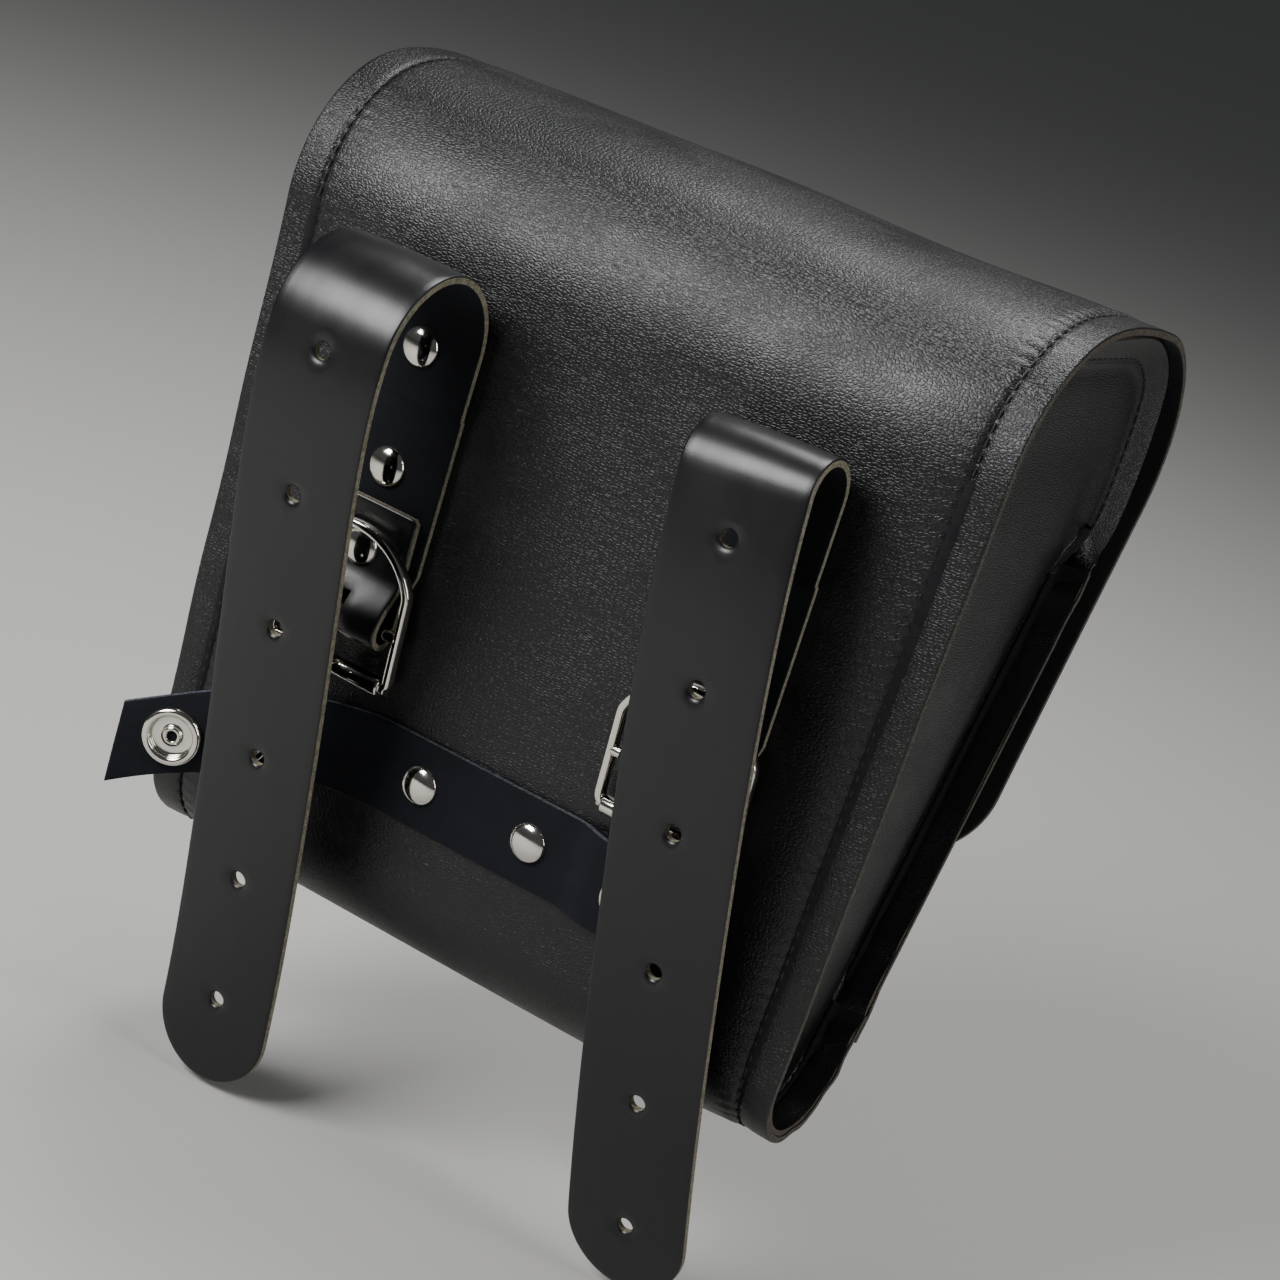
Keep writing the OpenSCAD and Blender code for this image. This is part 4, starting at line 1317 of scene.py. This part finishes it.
def buckle_part(side, part, suffix, shapes):
    """One hard piece of a buckle from (points, faces) shapes, on its own body."""
    verts, faces = merge(shapes)
    node = f"{WORD[side]}_{part}"
    obj = finish_mesh(node + suffix, at_bar(verts, side), faces, [0] * len(faces), [chrome], None, node)
    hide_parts(node)
    print(node, len(faces), "faces")


# %% [markdown]
# Each buckle has three pieces that move on their own: the frame with its two bars, the roller
# tube on the lower bar, and the prong, whose collar turns on the centre bar.

# %% Both buckles
for side in WORD:
    loop = buckle_loop().p[:-1]
    frame_bar = sweep(np.column_stack([loop, np.zeros(len(loop))]), 1.1, 1.5, True)
    bars = [rod(-BOW_HALF, BOW_HALF, up, radius) for up, radius in ((0, 1.6), (-ROLLER_DROP, 1.35))]
    buckle_part(side, "buckle", "_frame", [frame_bar, *bars])
    tube = rod(-16.1, 16.1, -ROLLER_DROP, 2.4, ends=0.5, seg=32, bore=1.45)
    buckle_part(side, "roller", "_tube", [tube])
    collar = rod(-1.5, 1.5, 0, 2.95, seg=28, ends=0.4, bore=1.66)
    buckle_part(side, "prong", "_bent", [sweep(prong_line(), 1.45, 0.85, False), collar])

# %% [markdown]
# ## Lid closures
# Two straps hold the flap down. Each is riveted to the flap, runs over its edge and snaps on a
# stud on the front panel.

# %% Closure straps
STACK, CLOSURE_W = 4.2, 25.0
flap_edge = roll_end + FLAP_L * flap_dir
edge_l = float((flap_edge - foot) @ front_dir)


def closure_run():
    ride_on = arc(ROLL, FRONT_R, 34, -FLAP_LEAN)
    tab = [foot + (edge_l - past) * front_dir + STACK * front_out for past in (7, 30)]
    return Run(np.concatenate([ride_on, [flap_edge + flap_dir], tab])).soften(1.5)


def closure(side):
    run = closure_run()
    half = CLOSURE_W / 2
    turn = np.radians(np.arange(0, 181, 6))
    nose = [(half * math.cos(a), run.length - half + half * math.sin(a)) for a in turn]
    outline = [(-half, 0), (half, 0)] + nose
    flat, faces = cut_piece(outline, 1.8)

    def place(u, v, w):
        p, out = run.at(v), run.left(v)
        d = half - np.abs(u)
        line = 0.3 * np.exp(-(((d - 3) / 0.6) ** 2)) * smooth((v - 2) / 4)
        p = p + out * (w + STRAP_T - line)[:, None]
        return np.stack([side * STRAP_X + u, p[:, 0], p[:, 1]], 1)

    obj = bent_sheet(WORD[side] + "_closure", flat, faces, place, STRAP_T, strap_set, "lid")
    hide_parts(WORD[side] + "_closure_strap")


for side in WORD:
    closure(side)
caps = caps_on("closure_snap_caps", FRONT)
lid_cap = lathe("pattern_lid_cap", dome(7, 2, 0) + [(7.05, -1.95), (6.8, -2.1), (0, -2.1)])
obj = repeat("closure_caps_domed", lid_cap, caps, [FRONT] * 2, [(1, 0, 0)] * 2, chrome, "lid")
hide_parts("closure_snap_caps")
print(f"closure straps {closure_run().length:.0f} mm long, caps at {[tuple(c.round(1)) for c in caps]}")

# %% [markdown]
# ## Hard pieces kept from the frame
# What is hard and hidden is already right in the frame. It only takes its real finish.

# %% Finishes for the kept frame pieces
kept = {
    "closure_studs": chrome, "closure_sockets": chrome, "closure_rivet_backs": chrome,
    "inner_rivet_caps": chrome, "back_board": board,
}
for name, finish in kept.items():
    nodes[name].data.materials.clear()
    nodes[name].data.materials.append(finish)
print("kept from the frame:", *kept)

# %% [markdown]
# ## Stitches
# A lockstitch shows as a row of short, slightly sunken beads of thread. One bead is a stretched
# sphere; the repeating tree sets one on every stitch of a row, measured along the sheet.

# %% One stitch and its rows
bead = bpy.data.meshes.new("pattern_stitch")
bm = bmesh.new()
bmesh.ops.create_uvsphere(bm, u_segments=8, v_segments=6, radius=1.0)
for v in bm.verts:
    v.co = Vector((v.co.z * 1.45 * MM, v.co.y * 0.42 * MM, v.co.x * 0.42 * MM))
bm.to_mesh(bead)
bm.free()
bead = bpy.data.objects.new("pattern_stitch", bead)


def stitch_row(name, place, us, vs, body=None):
    """Beads on a sheet: place is the sheet's own rule, us and vs the row in flat coordinates."""
    lift, step = np.full(len(us), 0.3), 0.6
    at = place(us, vs, lift)
    dv, du = np.gradient(vs), np.gradient(us)
    size = np.maximum(np.hypot(du, dv), 1e-9)
    ahead = place(us + step * du / size, vs + step * dv / size, lift)
    behind = place(us - step * du / size, vs - step * dv / size, lift)
    up = place(us, vs, lift + 1.0) - at
    return repeat(name, bead, at, up, ahead - behind, waxed, body, 0.12)


for side, word in WORD.items():
    vs = np.arange(STITCH / 2, v_split, STITCH)
    stitch_row(f"{word}_back_stitches", on_main, side * (main_half(vs) - SEAM_IN), vs, "bag")
    vs = np.arange(v_split + STITCH / 2, main.length - 20, STITCH)
    obj = stitch_row(f"{word}_lid_stitches", on_main, side * (main_half(vs) - SEAM_IN), vs)
    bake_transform(obj)
    vs = np.arange(4, front_run.length - 9, STITCH)
    half = half_width(front_run.at(vs)[:, 1])
    stitch_row(f"{word}_front_stitches", on_front, side * (half - SEAM_IN), vs, "bag")
    s, free, points, ups = walls[side]
    every = np.arange(0, rim_line.length, STITCH)
    keep = np.interp(every, s, free) > 0.5
    at = np.stack([np.interp(every[keep], s, points[:, k]) for k in range(3)], 1)
    up = np.stack([np.interp(every[keep], s, ups[:, k]) for k in range(3)], 1)
    along = np.gradient(at, axis=0)
    repeat(f"{word}_wall_stitches", bead, at + 0.1 * up, up, along, waxed, "bag", 0.12)
across = np.arange(-80, 80.1, STITCH)
stitch_row("front_seam_stitches", on_front, across, np.full(len(across), 4.0), "bag")
stitch_row("mouth_stitches", on_front, across, np.full(len(across), front_run.length - HEM), "bag")

# %% [markdown]
# ## Stage, light and camera
# A pale floor and three soft lights: the key high on the left for the long highlight over the roll
# and the strap loops, one over the front that draws the top's outline, and a weak tall one on the
# right for the side wall. The camera looks down on the back from its right.


# %% Stage, lights and camera
def floor_material():
    made, _, shader = new_material("pale floor")
    shader.inputs["Base Color"].default_value = colour("#b9b8b5")
    shader.inputs["Roughness"].default_value = 0.9
    return made


floor_mesh = bpy.data.meshes.new("floor")
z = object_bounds()[0].z - 0.002
floor_mesh.from_pydata([(-20, -20, z), (20, -20, z), (20, 20, z), (-20, 20, z)], [], [(0, 1, 2, 3)])
floor_mesh.materials.append(floor_material())
floor = put_in_scene("floor", floor_mesh)

world = bpy.data.worlds.new("soft grey room")
bpy.context.scene.world = world
world.use_nodes = True
world.node_tree.nodes["Background"].inputs["Color"].default_value = colour("#c9ccd1")
world.node_tree.nodes["Background"].inputs["Strength"].default_value = 0.11


def softbox(name, direction, distance, size, power):
    lamp = bpy.data.lights.new(name, "AREA")
    lamp.shape, lamp.size, lamp.size_y, lamp.energy = "RECTANGLE", size[0], size[1], power
    obj = put_in_scene(name, lamp)
    centre = Vector((0, 0.03, 0.02))
    obj.location = centre + Vector(direction).normalized() * distance
    obj.rotation_mode = "QUATERNION"
    obj.rotation_quaternion = (centre - obj.location).to_track_quat("-Z", "Y")


softbox("key", (-0.41, -0.70, 0.60), 0.9, (0.5, 0.4), 11)
softbox("top", (-0.1, 0.35, 0.9), 1.0, (0.6, 0.4), 8)
softbox("side", (0.95, -0.1, 0.35), 1.1, (0.3, 0.7), 5)

lens = bpy.data.cameras.new("camera")
lens.lens, lens.sensor_width, lens.clip_start = 83.0, 36.0, 0.01
camera = put_in_scene("camera", lens)
right, upward, back = (0.82202, 0.4914, 0.28775), (-0.39885, 0.13619, 0.90684), (0.40644, -0.86022, 0.30795)
camera.matrix_world = Matrix.Translation((0.29899, -0.57579, 0.22688)) @ Matrix(
    (right, upward, back)).transposed().to_4x4()
bpy.context.scene.camera = camera
print("camera at", tuple(round(x, 3) for x in camera.matrix_world.translation))
